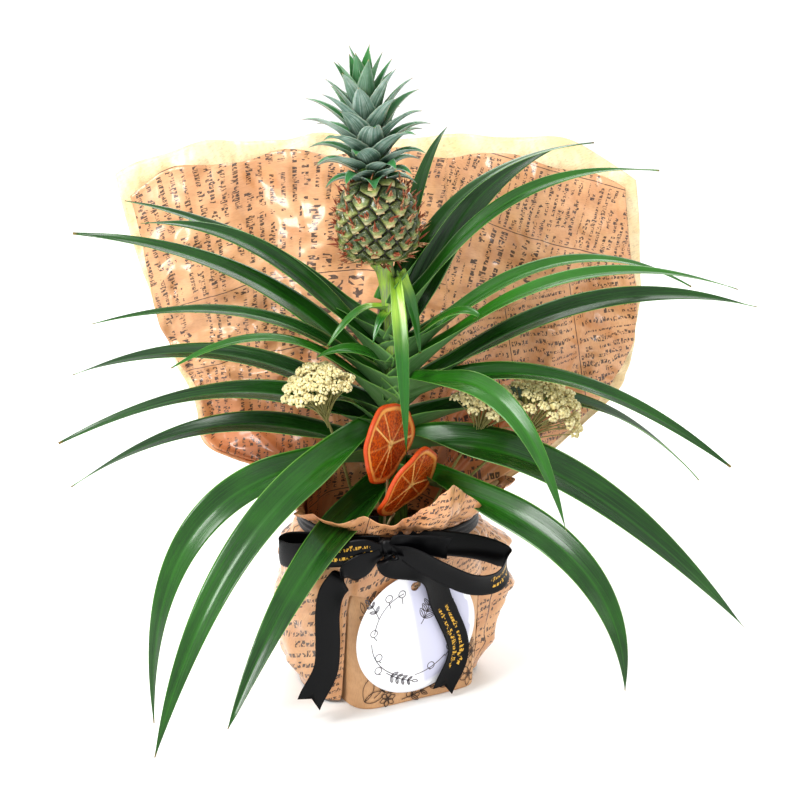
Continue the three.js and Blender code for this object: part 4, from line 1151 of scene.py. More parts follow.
def makeWrap():
    # The gathered skirt: its creases push outwards more than inwards, deep pleats run into
    # the neck, and the collar above the ribbon opens in uneven folds with one high flap.
    rows, columns = wrapShape["rows"], wrapShape["columns"]
    turn = np.linspace(0, 360, columns + 1)[:-1][None] * np.ones((rows, 1))
    v = np.linspace(0, 1, rows)[:, None] * np.ones(columns)
    off = np.abs((turn + 62 + 540) % 360 - 180)
    front = 1 - smoothStep(off, 50, 62)
    low = blend(0.003, 0.1105, front) + 0.002 * np.sin(np.radians(turn) * 9) * front
    ripple = 0.004 * np.sin(np.radians(turn) * 7 + 1) + 0.003 * np.sin(np.radians(turn) * 13)
    peak = np.exp(-np.abs((turn - 297) / 13) ** 1.5) + 0.25 * np.exp(-((turn - 238) / 10) ** 2)
    collar = 0.184 + 0.046 * peak + ripple * smoothStep(v, 0.7, 1)
    z = np.where(v < 2 / 3, blend(low, 0.1506, v * 1.5),
                 np.where(v < 7 / 9, blend(0.1506, 0.1726, (v - 2 / 3) * 9),
                          blend(0.1726, collar, (v - 7 / 9) * 4.5)))
    arc = np.radians(turn) * 0.095
    wave = sum(crumple(arc + shift, z, 31, wrapShape["creases"]) * share
               for shift, share in ((0, 1 - turn / 360), (2 * np.pi * 0.095, turn / 360)))
    belly = smoothStep(z, 0.004, 0.03) * (1 - smoothStep(z, 0.128, 0.150))
    pleats = 0.0040 * np.abs(np.sin(np.radians(turn) * 19 + 1.3 * np.sin(np.radians(turn) * 5))) \
        * smoothStep(z, 0.095, 0.142) * (1 - 0.85 * smoothStep(np.abs(z - 0.1616), 0.012, 0.006))
    above = smoothStep(z, 0.1720, 0.186)
    open_ = above * (0.007 * np.sin(np.radians(turn) * 6 + 2)
                     + 0.005 * np.sin(np.radians(turn) * 15) + 0.010)
    outwards = np.where(wave > 0, wave, wave * 0.35) * belly + pleats + open_ + 0.35 * wave * above
    cinched = smoothStep(np.abs(z - 0.1616), 0.0095, 0.0065)
    loose = outwards + 0.004 * (1 - cinched) * smoothStep(z, 0.12, 0.15)
    outwards = blend(loose, np.minimum(outwards, 0.0012), cinched)
    # Round the front opening the skirt hugs the sleeve instead of swelling.
    sleeveAt = np.linalg.norm(sleevePoint(turn, np.minimum(z, 0.118))[..., :2], axis=-1)
    hug = (1 - smoothStep(off, 54, 70)) * smoothStep(z, 0.150, 0.134)
    fuller = 0.007 * np.cos(np.radians(turn)) ** 2 * belly
    held = sleeveAt + 0.0016 + np.minimum(0.12 * np.abs(wave), 0.0012) + 0.09 * np.maximum(z - 0.118, 0)
    r = blend(wrapRadius(turn, z) + outwards + fuller, held, hug)
    points = heading(turn) * r[..., None] + z[..., None] * [0, 0, 1.0]
    around = np.linspace(0, 0.62, columns + 1)[None] * np.ones((rows, 1))
    lean = 0.35 * np.sin(around * 10)
    zAll = np.concatenate([z, z[:, :1]], axis=1)
    uv = np.stack([around * 1.0 + zAll * lean, zAll + 0.9 - around * 0.35], -1)
    # Painted light: the same warm orange glow over the collar above the band, in eight bands round it and
    # less on the high flap.
    shade = 0.5 * smoothStep(z, 0.150, 0.20) * (0.5 + 0.5 * np.sin(np.radians(turn) * 8)) * (1 - peak)
    piece = gridObject("newsprint wrap", points, [newsprint], uv, {"shade": shade}, True)
    solidSheet(piece, wrapShape["thickness"])
    finishPiece(piece, ["newsprint_wrap"])


makeWrap()
print("stage: wrap and sleeve")


ribbonLook = {"width": 0.022, "thickness": 0.00045, "satin": "#060608", "gold": "#c9a04a"}
knotMiddle = np.array([0, -0.0897, 0.1616])


def satinMaterial():
    # Black woven satin: fine cross threads and a broad, stretched shine. Two rows of gold
    # foil scribble are stamped along it where the piece asks for them.
    material, tree, shader = newMaterial("black satin ribbon")
    place = flatPlace(tree)
    parts = addNode(tree, "SeparateXYZ", {0: place})
    across, along = parts.outputs[0], parts.outputs[1]
    marks = markRows(tree, along, across, 0.0072, 5.0)
    printed = maths(tree, "COMPARE", across, 0.0, 0.0072)
    gold = maths(tree, "MULTIPLY", maths(tree, "MULTIPLY", marks, printed), attribute(tree, "foil"))
    threads = noise(tree, stretched(tree, place, 250, 4200, 1), 1.0, 2.0)
    base = colourMix(tree, gold, linearColour(ribbonLook["satin"]), linearColour(ribbonLook["gold"]))
    rough = addNode(tree, "Mix", {0: gold, 2: 0.36, 3: 0.3}).outputs[0]
    put(tree, shader, {"Base Color": base, "Roughness": rough, "IOR": 1.5, "Metallic": gold,
                       "Anisotropic": 0.5,
                       "Specular IOR Level": 0.22})
    bump(tree, shader, threads, 0.00008)
    return material


satin = satinMaterial()


def makeRibbon(name, nodeName, stations, widths, notch=0.0, foil=(), count=110, dish=0.0016):
    # A strip along a smooth path. Its width vector is squared to the path, it dishes a
    # little across, and its last stretch runs on at the edges to cut a swallowtail.
    path = smoothPath(stations, count)
    side = smoothPath(widths, count)
    tangent = unit(np.gradient(path, axis=0))
    side = unit(side - np.sum(side * tangent, -1, keepdims=True) * tangent)
    above = np.cross(tangent, side)
    s = np.linspace(0, 1, count)
    w = np.linspace(-1, 1, 13)
    pinch = blend(0.45, 1.0, smoothStep(s, 0, 0.16))
    half = ribbonLook["width"] / 2 * pinch
    extra = notch * np.abs(w)[None] * smoothStep(s, 0.8, 1.0)[:, None]
    rippled = dish * (w ** 2 - 0.4) + 0.0005 * np.sin(s * 16)[:, None] * w
    thick = ribbonLook["thickness"] / 2
    point = lambda t: (path[:, None] + half[:, None, None] * w[:, None] * side[:, None]
                       + (rippled + t)[..., None] * above[:, None] + extra[..., None] * tangent[:, None])
    points = np.concatenate([point(-thick), point(thick)[:, ::-1]], axis=1)
    runs = np.concatenate([[0], np.cumsum(np.linalg.norm(np.diff(path, axis=0), axis=1))])
    acrossAll = np.concatenate([w, w[::-1], w[:1]])
    uv = np.stack(np.broadcast_arrays(acrossAll[None] * ribbonLook["width"] / 2, runs[:, None]), -1)
    stamped = sum((smoothStep(s, a - 0.001, a) * smoothStep(s, b + 0.001, b) for a, b in foil), s * 0)
    piece = gridObject(name, points, [satin], uv,
                       {"foil": np.broadcast_to(stamped[:, None], points.shape[:2])}, True, True)
    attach(piece, "root")
    if nodeName:
        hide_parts(nodeName)
    return piece


def fromKnot(*points):
    # Places in millimetres from the knot's middle.
    return [knotMiddle + np.array(p) / 1000 for p in points]


up = (0, 0.15, 1)
makeRibbon("ribbon loop left", "ribbon_loop_left",
           fromKnot((-4, -5, 0), (-18, -8, 0), (-42, -6, -5), (-70, 4, -10), (-88, 18, -15), (-96, 32, -16),
                    (-86, 38, -12), (-60, 24, -7), (-34, 10, -4), (-6, 3, -2)),
           [up] * 10, foil=[(0.08, 0.34)])
makeRibbon("ribbon loop right", "ribbon_loop_right",
           fromKnot((4, -5, 0), (20, -10, -4), (46, -14, -17), (72, -13, -29), (92, -4, -32), (103, 8, -28),
                    (104, 24, -20), (80, 24, -10), (42, 10, 0), (8, 3, 2)),
           [(0.2, -0.2, 1), (0.35, -0.3, 1), (0.45, -0.35, 1), (0.4, -0.3, 1), (0.2, -0.1, 1), (0, 0.1, 1),
            (0, 0.1, 1), (0, 0.1, 1), (0, 0.1, 1), (0, 0, 1)], foil=[(0.44, 0.6)])
makeRibbon("ribbon tail left", "ribbon_tail_left",
           fromKnot((-5, -6, -4), (-20, -11, -12), (-36, -13, -22), (-48, -14, -36), (-52, -15, -56),
                    (-52, -16, -84), (-54, -17, -108), (-64, -18, -130)),
           [(0.6, 0, 1), (0.5, 0, 1), (0.8, 0, 0.8), (1, 0, 0.4), (1, -0.2, 0), (1, -0.2, 0), (1, -0.2, 0.1),
            (1, -0.1, 0.35)], 0.013)
across28 = heading(28.0)
facing28 = heading(-62.0)


def onPanel(along, z, lift):
    # A place in front of the sleeve's front panel, in millimetres.
    outward = facing28 * (sleeveHalf(z / 1000) + lift / 1000)
    return outward + across28 * along / 1000 + np.array([0, 0, z / 1000])


tilt = lambda rise: tuple(across28 + np.array([0, 0, rise]))
makeRibbon("ribbon tail right", "ribbon_tail_right",
           [knotMiddle + np.array([0.002, -0.0075, -0.004]), knotMiddle + np.array([0.003, -0.0125, -0.012]),
            onPanel(-6, 134, 15.5), onPanel(12, 98, 9.4), onPanel(30, 59, 8.4), onPanel(31, 38, 8.4),
            onPanel(22, 19, 9.4)],
           [tilt(1.0), tilt(1.0), tilt(0.7), tilt(0.4), tilt(0), tilt(-0.3), tilt(-0.5)], 0.012,
           foil=[(0.52, 0.9)])
makeRibbon("ribbon short end", None,
           fromKnot((3, -6, 3), (16, -9, 6), (34, -10, 6), (50, -8, 3)),
           [(0, -0.2, 1), (0, -0.3, 1), (0, -0.3, 1), (0, -0.2, 1)], 0.004, count=50)

# The band round the neck: slightly slack, with lengthwise folds.
turn = np.linspace(0, 2 * np.pi, 361)[:-1]
w = np.linspace(-1, 1, 15)
bandOut = (0.0826 + 0.0004 * np.cos(w * 9)[:, None] * np.ones(360)
           + 0.0002 * np.sin(turn * 11 + w[:, None] * 3))
height = 0.1616 + w[:, None] * 0.0066 + 0.0004 * np.sin(turn * 5)
bandRing = lambda lift: np.stack([(bandOut + lift) * np.cos(turn), (bandOut + lift) * np.sin(turn),
                                  np.broadcast_to(height, bandOut.shape)], -1)
points = np.concatenate([bandRing(0.0002), bandRing(-0.0002)[::-1]])
around = np.linspace(0, 0.52, 361)
acrossBand = np.concatenate([w, w[::-1]]) * 0.01
uv = np.stack(np.broadcast_arrays(acrossBand[:, None], around[None]), -1)
quadsLoop = np.concatenate([points, points[:1]])
uv = np.concatenate([uv, uv[:1]])
band = gridObject("ribbon band", quadsLoop, [satin], uv, {"foil": np.zeros(quadsLoop.shape[:2])}, True)
finishPiece(band, ["ribbon_band"])

# The knot: a pinched wrap of ribbon with soft ridges that run over it.
turnK = np.linspace(0, 2 * np.pi, 97)[:-1][None]
rise = np.linspace(-np.pi / 2 + 0.05, np.pi / 2 - 0.05, 60)[:, None]
ridge = 1 + 0.06 * np.cos(turnK * 7 + 1.5 * np.sin(rise * 2)) * np.cos(rise)
knot = np.stack([0.0088 * np.cos(rise) * np.cos(turnK) * ridge, 0.0064 * np.cos(rise) * np.sin(turnK) * ridge,
                 0.0090 * np.sin(rise) * np.ones_like(turnK)], -1) + knotMiddle
knotUv = np.stack(np.broadcast_arrays(rise * 0.01, np.linspace(0, 0.05, 97)[None]), -1)
finishPiece(gridObject("ribbon knot", knot, [satin], knotUv, {"foil": np.zeros(knot.shape[:2])}, True, True),
            ["ribbon_knot"])
print("stage: ribbon")


tagLook = {"radius": 0.060, "thickness": 0.0006, "card": "#f4f4f7", "shade": "#c6c6dc", "hole": 0.0042}
tagLean = math.atan2(0.009, 0.118)
tagUp = facing28 * math.sin(tagLean) + np.array([0, 0, math.cos(tagLean)])
tagFace = facing28 * math.cos(tagLean) - np.array([0, 0, math.sin(tagLean)])
tagMiddle = onPanel(-10, 72, 4.2)


def onTag(x, y, lift=0.0):
    # x right and y up from the tag's middle; the card bows forward a little at its sides.
    x, y = np.broadcast_arrays(np.asarray(x, float), np.asarray(y, float))
    bow = 0.0006 * (x / tagLook["radius"]) ** 2
    return (tagMiddle + x[..., None] * across28 + y[..., None] * tagUp + (bow + lift)[..., None] * tagFace)


def cardMaterial():
    # Smooth white coated card with painted shade, a faint cool lavender grey, over its right half.
    material, tree, shader = newMaterial("white tag card")
    grain = noise(tree, objectPlace(tree), 700, 2.0)
    base = colourMix(tree, attribute(tree, "paintedShade"), linearColour(tagLook["card"]),
                     linearColour(tagLook["shade"]))
    put(tree, shader, {"Base Color": base, "Roughness": ramp(tree, grain, 0.3, 0.7, 0.42, 0.5),
                       "IOR": 1.48, "Coat Weight": 0.15, "Coat Roughness": 0.3})
    bump(tree, shader, grain, 0.00003)
    return material


# The card is a grid from the hole's rim to the outer rim, front and back, closed on itself.
theta = np.linspace(0, 2 * np.pi, 241)[:-1]
share = np.concatenate([np.linspace(0, 1, 26), np.linspace(1, 0, 26)])
side = np.concatenate([np.full(26, 1.0), np.full(26, -1.0)]) * tagLook["thickness"] / 2
holeAt = np.array([-0.003, 0.046])
inner = np.stack([holeAt[0] + tagLook["hole"] * np.cos(theta),
                  holeAt[1] + tagLook["hole"] * np.sin(theta)], -1)
outer = tagLook["radius"] * np.stack([np.cos(theta), np.sin(theta)], -1)
flat = blend(inner[None], outer[None], share[:, None, None])
points = onTag(flat[..., 0], flat[..., 1], side[:, None])
points = np.concatenate([points, points[:1]])[::-1]
flatAll = np.concatenate([flat, flat[:1]])[::-1]
# Painted shade: a cool lavender grey over the right half of the card, inside its rim.
paintedShade = smoothStep(flatAll[..., 0] + 0.2 * flatAll[..., 1], -0.003, 0.003) * 0.9 \
    * (np.hypot(flatAll[..., 0], flatAll[..., 1]) < 0.055)
tag = gridObject("round tag", points, [cardMaterial()], values={"paintedShade": paintedShade}, closed=True)
finishPiece(tag, ["round_tag"])

wreath = [ringPath((0, 0), 0.0430, 1.9, 3.0, 0.02), ringPath((0, 0), 0.0440, 3.2, 4.5, -0.02),
          ringPath((0.001, 0.001), 0.0435, 4.7, 5.5, 0.03), ringPath((0, 0), 0.0440, 0.2, 0.9)]
wreath += sprig((0.004, 0.006), 1.0, 0.024, 3, 0.013, 0.0045)
wreath += sprig((-0.038, 0.020), 1.9, 0.020, 2, 0.008, 0.003)
wreath += sprig((-0.030, -0.034), 5.6, 0.030, 4, 0.008, 0.003)
wreath += sprig((0.030, -0.032), 0.9, 0.026, 3, 0.008, 0.003)
for x, y in ((-31, 42), (-17, 44), (-40, -19), (-40, -33), (18, -40), (-46, 8), (36, 26)):
    wreath.append(ringPath((x * 0.00093, y * 0.00093), 0.0034))
    wreath.append(np.array([(x * 0.00093, y * 0.00093 - 0.0034), (x * 0.00086, y * 0.00086 - 0.007)]))
lineWork("tag wreath print", wreath, 0.0008, lambda x, y: onTag(x, y, 0.00036), greyInk)


def twistedCord(name, path, radius, pitch, material, node):
    # Two strands wound round each other: each runs at half the radius off the path.
    runs = np.concatenate([[0], np.cumsum(np.linalg.norm(np.diff(path, axis=0), axis=1))])
    tangent = unit(np.gradient(path, axis=0))
    a = unit(np.cross(np.broadcast_to((1.0, 0.2, 0), tangent.shape), tangent))
    b = np.cross(tangent, a)
    strands = []
    for phase in (0.0, math.pi):
        angle = (runs / pitch * 2 * np.pi + phase)[:, None]
        strands.append(tubeGrid(path + radius * 0.5 * (np.cos(angle) * a + np.sin(angle) * b),
                                radius * 0.55, 10, (1, 0.3, 0)))
    piece = manyGrids(name, np.stack(strands), [material], True)
    finishPiece(piece, [node])


def fibreMaterial(name, colour, other):
    # Dry plant fibre: matt, with fine streaks.
    material, tree, shader = newMaterial(name)
    strands = noise(tree, stretched(tree, objectPlace(tree), 1400, 1400, 500), 1.0, 3.0)
    shade = colourMix(tree, ramp(tree, strands, 0.3, 0.7), linearColour(colour), linearColour(other))
    put(tree, shader, {"Base Color": shade, "Roughness": 0.85, "IOR": 1.5, "Sheen Weight": 0.15})
    bump(tree, shader, strands, 0.0003)
    return material


hemp = fibreMaterial("hemp twine", "#8d7658", "#6b5a44")
twinePath = smoothPath([onPanel(-13, 117.5, 4.2), onPanel(-13, 118.5, 6.4), onPanel(-12.6, 124, 8.2),
                        knotMiddle + np.array([0, -0.0030, -0.0106])], 80)
twistedCord("tag twine", twinePath, 0.0011, 0.0045, hemp, "tag_twine")


orangeLook = {
    "radius": 0.0365,
    "peel": "#b1430e",
    "pith": "#dc9a52",
    "flesh": "#c65c10",
    "deep": "#8c340b",
    "membrane": "#ecc07a",
    "segments": 10,
}


def orangeMaterial():
    # Oven-dried orange: hard shiny flesh like amber, chalky pith and a waxy darkened peel.
    material, tree, shader = newMaterial("dried orange")
    place = objectPlace(tree)
    juice = noise(tree, place, 420, 3.0)
    flesh = colourMix(tree, ramp(tree, juice, 0.35, 0.68), linearColour(orangeLook["flesh"]),
                      linearColour(orangeLook["deep"]))
    base = colourMix(tree, attribute(tree, "wall"), flesh, linearColour(orangeLook["membrane"]))
    base = colourMix(tree, attribute(tree, "pith"), base, linearColour(orangeLook["pith"]))
    base = colourMix(tree, attribute(tree, "peel"), base, linearColour(orangeLook["peel"]))
    put(tree, shader, {"Base Color": base, "Roughness": ramp(tree, juice, 0.3, 0.7, 0.28, 0.5),
                       "IOR": 1.45, "Subsurface Weight": 0.2, "Subsurface Scale": 0.003,
                       "Subsurface Radius": (1.0, 0.4, 0.1)})
    bump(tree, shader, juice, 0.0006)
    return material


orange = orangeMaterial()


def makeSlice(name, node, middle, normal, seed):
    # A warped disc in polar rows: front face, peel edge, back face. The flesh sinks
    # between raised walls, and the whole disc cups and ruffles as it dried.
    normal = np.array(normal) / np.linalg.norm(normal)
    a = unit(np.cross([0, 0, 1.0], normal))
    b = np.cross(normal, a)
    rng = np.random.default_rng(seed)
    theta = np.linspace(0, 2 * np.pi, 181)[:-1][None]
    faceShare = np.concatenate([np.linspace(0.03, 0.985, 44), [1.0, 1.0],
                                np.linspace(0.985, 0.03, 44)])[:, None]
    sideOf = np.concatenate([np.full(44, -1.0), [-0.6, 0.6], np.full(44, 1.0)])[:, None]
    n = orangeLook["segments"]
    bent = theta + 0.12 * np.sin(theta * 2 + rng.uniform(0, 6))
    wallAt = np.abs(np.sin(bent * n / 2)) * faceShare
    wall = smoothStep(wallAt, 0.17, 0.04) * (faceShare < 0.86) * (0.55 + 0.45 * np.sin(theta * 3 + seed))
    wall = np.maximum(wall, smoothStep(faceShare, 0.15, 0.07) * np.ones_like(theta))
    pith = smoothStep(faceShare, 0.83, 0.87) * np.ones_like(theta)
    peel = smoothStep(faceShare, 0.93, 0.955) * np.ones_like(theta)
    sunk = (1 - np.maximum(wall, pith)) * 0.0009
    lumps = 0.00035 * np.sin(theta * 37 + faceShare * 60) * (1 - pith)
    half = 0.0019 - sunk + lumps * 0.6
    uneven = 1 + 0.02 * np.sin(theta * 3 + seed) + 0.008 * np.sin(theta * 11)
    r = orangeLook["radius"] * faceShare * uneven
    warp = faceShare ** 2 * (0.0022 * np.sin(theta * 2 + seed) + 0.0011 * np.sin(theta * 5 + 2 * seed)) \
        - 0.0022 * faceShare ** 2 + 0.0010
    lift = warp + sideOf * half
    points = (np.array(middle) + (r * np.cos(theta))[..., None] * a + (r * np.sin(theta))[..., None] * b
              + lift[..., None] * normal)
    piece = gridObject(name, points, [orange], closed=True, caps=True,
                       values={"wall": wall, "pith": pith, "peel": peel})
    finishPiece(piece, [node])


makeSlice("orange slice upper", "orange_slice_upper", (0.001, -0.058, 0.2456), (0.828, -0.552, -0.096), 1)
makeSlice("orange slice lower", "orange_slice_lower", (0.019, -0.063, 0.2106), (0.731, -0.505, -0.453), 2)
cane = fibreMaterial("cane pick", "#b9a27c", "#8c8058")
for name, node, middle, normal, foot in (
        ("slice pick upper", "slice_pick_upper", (0.001, -0.058, 0.2456), (0.828, -0.552, -0.096),
         (-0.006, -0.042, 0.1276)),
        ("slice pick lower", "slice_pick_lower", (0.019, -0.063, 0.2106), (0.731, -0.505, -0.453),
         (-0.002, -0.050, 0.1276))):
    middle, foot = np.array(middle), np.array(foot)
    n = np.array(normal) / np.linalg.norm(normal)
    down = foot - middle
    down = unit(down - down @ n * n)
    below = middle + down * 0.05
    path = smoothPath([middle + down * 0.0345, below, blend(below, foot, 0.6), foot], 40)
    finishPiece(gridObject(name, tubeGrid(path, 0.0012, 10, (0, 1, 0.2)), [cane], closed=True, caps=True),
                [node])
print("stage: slices")


yarrowLook = {"floret": "#f0e6b6", "floretDeep": "#d9c688", "shadow": "#a3945a", "stem": "#a09a5c",
              "clusters": 52, "florets": 19}


def yarrowMaterial():
    # Dried flower heads: chalky cream-yellow grains, flecked at random with duller, greener painted shadow.
    material, tree, shader = newMaterial("dried yarrow florets")
    grain = noise(tree, objectPlace(tree), 900, 2.0)
    base = colourMix(tree, attribute(tree, "tone"), linearColour(yarrowLook["floretDeep"]),
                     linearColour(yarrowLook["floret"]))
    # Painted shadow: random specks of a duller, greener colour among the florets.
    base = colourMix(tree, ramp(tree, grain, 0.42, 0.7, 0.0, 0.45), base,
                     linearColour(yarrowLook["shadow"]))
    put(tree, shader, {"Base Color": base, "Roughness": 0.9, "IOR": 1.45, "Sheen Weight": 0.2})
    return material


florets = yarrowMaterial()
yarrowStem = fibreMaterial("dried yarrow stem", yarrowLook["stem"], "#7f7a48")


def makeYarrow(name, node, top, radius, depth, height, foot, seed):
    # A domed head of small clusters on fine branches that meet on the stem. Each cluster is
    # a cap of tiny eight-sided florets.
    rng = np.random.default_rng(seed)
    top = np.array(top)
    foot = np.array([foot[0], foot[1], soilHeight + 0.0004])
    lean = unit(top - foot)
    a = unit(np.cross([0, 1.0, 0], lean))
    b = np.cross(lean, a)
    clusters, each = yarrowLook["clusters"], yarrowLook["florets"]
    k = np.arange(clusters) + 0.5
    r = np.sqrt(k / clusters) * radius * 0.88
    phi = np.radians(137.5 * k)
    x, y = r * np.cos(phi), r * np.sin(phi) * depth
    rise = height * 0.42 - (r / radius) ** 2 * height * 0.62 + rng.uniform(-0.003, 0.003, clusters)
    middles = top + x[:, None] * a + y[:, None] * b + rise[:, None] * lean
    fan = unit(x[:, None] * a * 1.1 + y[:, None] * b * 1.1 + (radius * 1.5) * lean)
    j = np.arange(each) + 0.5
    capAngle = np.arccos(1 - j / each * 0.95)
    capTurn = np.radians(137.5 * j)
    direction = np.stack([np.sin(capAngle) * np.cos(capTurn), np.sin(capAngle) * np.sin(capTurn),
                          np.cos(capAngle)], -1)
    frames = framesFrom(fan, rng.uniform(0, 6, clusters))
    local = np.einsum("nij,pj->npi", frames, direction)
    clusterSize = rng.uniform(0.0042, 0.0058, clusters)
    places = middles[:, None] + local * clusterSize[:, None, None] * [1, 1, 0.8]
    places = (places + rng.normal(0, 0.0005, places.shape)).reshape(-1, 3)
    normals = unit(local.reshape(-1, 3) + rng.normal(0, 0.25, (len(places), 3)))
    ring = np.linspace(0, 2 * np.pi, 6, endpoint=False)
    petal = np.where(np.arange(6) % 2, 1.0, 0.78)
    shape = np.vstack([np.stack([np.cos(ring) * 0.6, np.sin(ring) * 0.6, ring * 0 - 0.5], -1),
                       np.stack([np.cos(ring) * petal, np.sin(ring) * petal, ring * 0 + 0.25], -1),
                       [[0, 0, 0.05], [0, 0, -0.8]]]) * 0.00185
    quads = [[i, (i + 1) % 6, 6 + (i + 1) % 6, 6 + i] for i in range(6)]
    tris = [[6 + i, 6 + (i + 1) % 6, 12] for i in range(6)] + [[(i + 1) % 6, i, 13] for i in range(6)]
    sizes = rng.uniform(0.75, 1.25, len(places))[:, None, None]
    piece = manyShapes(name, shape, quads, tris, framesFrom(normals, rng.uniform(0, 6, len(places))) * sizes,
                       places, [florets], {"tone": np.clip(rng.uniform(0.2, 1.1, len(places)), 0, 1)})
    finishPiece(piece, [node])
    fork = top - lean * height * 0.62
    t = np.linspace(0, 1, 9)[None, :, None]
    start = fork - lean * height * 0.35 * rng.uniform(0, 1, clusters)[:, None]
    tips = middles - fan * 0.002
    span = tips - start
    mid = start + span * 0.5 + lean * 0.004 - (span - (span @ lean)[:, None] * lean) * 0.12
    curve = start[:, None] * (1 - t) ** 2 + mid[:, None] * 2 * t * (1 - t) + tips[:, None] * t ** 2
    tangent = unit(np.gradient(curve, axis=1))
    p = unit(np.cross(np.array([0.3, 1.0, 0.1]), tangent))
    q = np.cross(tangent, p)
    ring = np.linspace(0, 2 * np.pi, 6)[:-1]
    round_ = np.cos(ring)[:, None] * p[:, :, None] + np.sin(ring)[:, None] * q[:, :, None]
    tubes = curve[:, :, None] + 0.0005 * round_
    branches = manyGrids(name + " branches", tubes, [yarrowStem], True)
    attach(branches, "root")
    raised = foot + np.array([0, 0, 0.03])
    bend = blend(raised, fork, 0.55) + np.array([0, 0, 0.008])
    stemPath = smoothPath([foot, raised, bend, fork], 60)
    stemGrid = tubeGrid(stemPath, blend(0.0016, 0.0012, np.linspace(0, 1, 60)), 12, (0, 1, 0))
    stem = gridObject(name + " stem", stemGrid, [yarrowStem], closed=True, caps=True)
    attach(stem, "root")


makeYarrow("yarrow left", "yarrow_left", (-0.061, -0.034, 0.2896), 0.034, 0.85, 0.042, (-0.026, -0.004), 1)
makeYarrow("yarrow right front", "yarrow_right_front", (0.091, -0.016, 0.2676), 0.036, 0.85,
           0.040, (0.034, -0.008), 2)
makeYarrow("yarrow right back", "yarrow_right_back", (0.143, -0.004, 0.2626), 0.042, 0.8,
           0.050, (0.040, 0.004), 3)
print("stage: yarrow")


potLook = {
    "sides": 144,
    "colour": "#1d1d1f",
    "lighter": "#2b2b2e",
    # Radius and height, up the outside, over the rim and down the inside.
    "profile": [(0.002, 0.0016), (0.049, 0.0016), (0.051, 0.0030), (0.0655, 0.1196),
                (0.0688, 0.1196), (0.0690, 0.1306), (0.0684, 0.1316), (0.0676, 0.1312),
                (0.0672, 0.1206), (0.0640, 0.1196), (0.0496, 0.0036), (0.002, 0.0032)],
}


def makePot():
    # A thin blow-moulded nursery pot: one profile turned about the axis, inside and out.
    profile = np.array(potLook["profile"])
    angle = np.linspace(0, 2 * np.pi, potLook["sides"] + 1)[:-1]
    points = np.stack([profile[:, :1] * np.cos(angle), profile[:, :1] * np.sin(angle),
                       profile[:, 1:] * np.ones(potLook["sides"])], -1)
    material, tree, shader = newMaterial("black polypropylene")
    grain = noise(tree, objectPlace(tree), 500, 2.0)
    shade = colourMix(tree, ramp(tree, grain, 0.3, 0.7), linearColour(potLook["colour"]),
                      linearColour(potLook["lighter"]))
    put(tree, shader, {"Base Color": shade, "Roughness": 0.45, "IOR": 1.49})
    piece = gridObject("nursery pot", points, [material], closed=True, caps=True)
    piece.modifiers.new("crisp edges", "EDGE_SPLIT").split_angle = math.radians(40)
    finishPiece(piece, ["nursery_pot"])


soilLook = {"top": 0.0628, "foot": 0.0480, "footHeight": 0.0040, "dark": "#1f1610", "light": "#5a4330"}


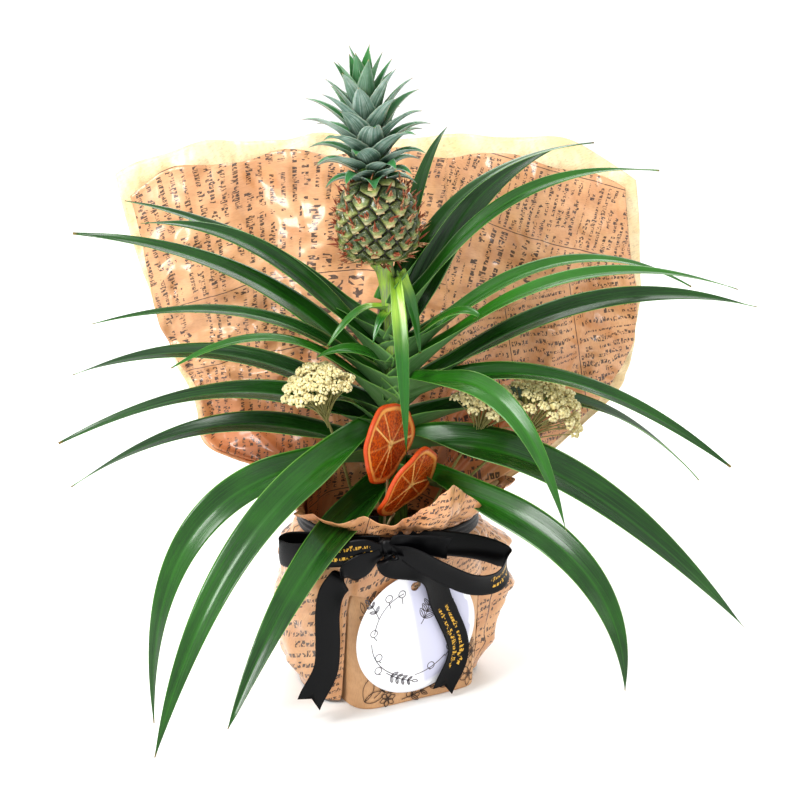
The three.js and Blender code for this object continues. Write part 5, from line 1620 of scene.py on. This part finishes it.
def makeSoil():
    # A lumpy disc of peat mix: a flat floor, a tapering side and a rough top.
    share = np.concatenate([np.linspace(0.02, 0.98, 40), [1.0], np.linspace(0.98, 0.05, 10)])[:, None]
    angle = np.linspace(0, 2 * np.pi, 241)[:-1][None]
    topRows = np.concatenate([np.ones(41), np.zeros(10)])[:, None]
    r = np.where(topRows > 0, soilLook["top"], soilLook["foot"]) * share
    lumps = crumple(r * np.cos(angle), r * np.sin(angle), 12,
                    [(0.02, 0.0016), (0.008, 0.0014), (0.004, 0.0008)])
    z = np.where(topRows > 0, soilHeight - 0.0012 + lumps * (share < 1),
                 soilLook["footHeight"])
    points = np.stack([r * np.cos(angle), r * np.sin(angle), z], -1)[::-1]
    material, tree, shader = newMaterial("peat potting mix")
    place = objectPlace(tree)
    crumbs = noise(tree, place, 420, 5.0)
    shade = colourMix(tree, ramp(tree, crumbs, 0.35, 0.65),
                      linearColour(soilLook["dark"]), linearColour(soilLook["light"]))
    put(tree, shader, {"Base Color": shade, "Roughness": 0.95, "IOR": 1.4})
    bump(tree, shader, crumbs, 0.002)
    piece = gridObject("potting soil", points, [material], closed=True, caps=True)
    finishPiece(piece, ["potting_soil"])


makePot()
makeSoil()
print("stage: pot and soil")


studio = {"world": 1.03, "key": 34.0, "fill": 3.0, "back": 13.0, "floor": "#f4f4f4"}

material, tree, shader = newMaterial("pale studio floor")
put(tree, shader, {"Base Color": linearColour(studio["floor"]), "Roughness": 0.8, "Specular IOR Level": 0.1})
side = np.linspace(-8, 8, 3)
floorPoints = np.stack([np.broadcast_to(side[None], (3, 3)), np.broadcast_to(side[:, None], (3, 3)),
                        np.zeros((3, 3))], -1)
floor = gridObject("floor", floorPoints, [material])

world = bpy.data.worlds.new("white studio")
bpy.context.scene.world = world
world.use_nodes = True
background = world.node_tree.nodes["Background"]
background.inputs["Color"].default_value = (1, 1, 1, 1)
background.inputs["Strength"].default_value = studio["world"]


def softLight(name, power, size, place, target):
    # A light shines down its own -Z, so it tips from straight down to the aim, then turns
    # to its heading.
    lamp = bpy.data.lights.new(name, "AREA")
    lamp.energy = power
    lamp.size = size
    piece = bpy.data.objects.new(name, lamp)
    bpy.context.scene.collection.objects.link(piece)
    aim = np.array(target) - np.array(place)
    piece.location = place
    piece.rotation_euler = (math.atan2(math.hypot(aim[0], aim[1]), -aim[2]), 0,
                            math.atan2(-aim[0], aim[1]))
    return piece


softLight("key softbox", studio["key"], 0.9, (-1.1, -1.0, 1.7), (0, 0, 0.28))
softLight("fill softbox", studio["fill"], 1.2, (1.6, -0.9, 1.1), (0, 0, 0.28))
softLight("back softbox", studio["back"], 1.2, (0.2, 1.5, 1.5), (0, 0, 0.35))

lens = bpy.data.cameras.new("camera")
lens.lens = 85.05
lens.sensor_width = 36
camera = bpy.data.objects.new("camera", lens)
bpy.context.scene.collection.objects.link(camera)
camera.location = (0.011, -1.62572, 0.76503)
camera.rotation_euler = (math.radians(90 - 17), 0, 0)
bpy.context.scene.camera = camera
bpy.context.scene.view_settings.view_transform = "Standard"
bpy.context.scene.view_settings.look = "Medium High Contrast"

print("stage: studio")
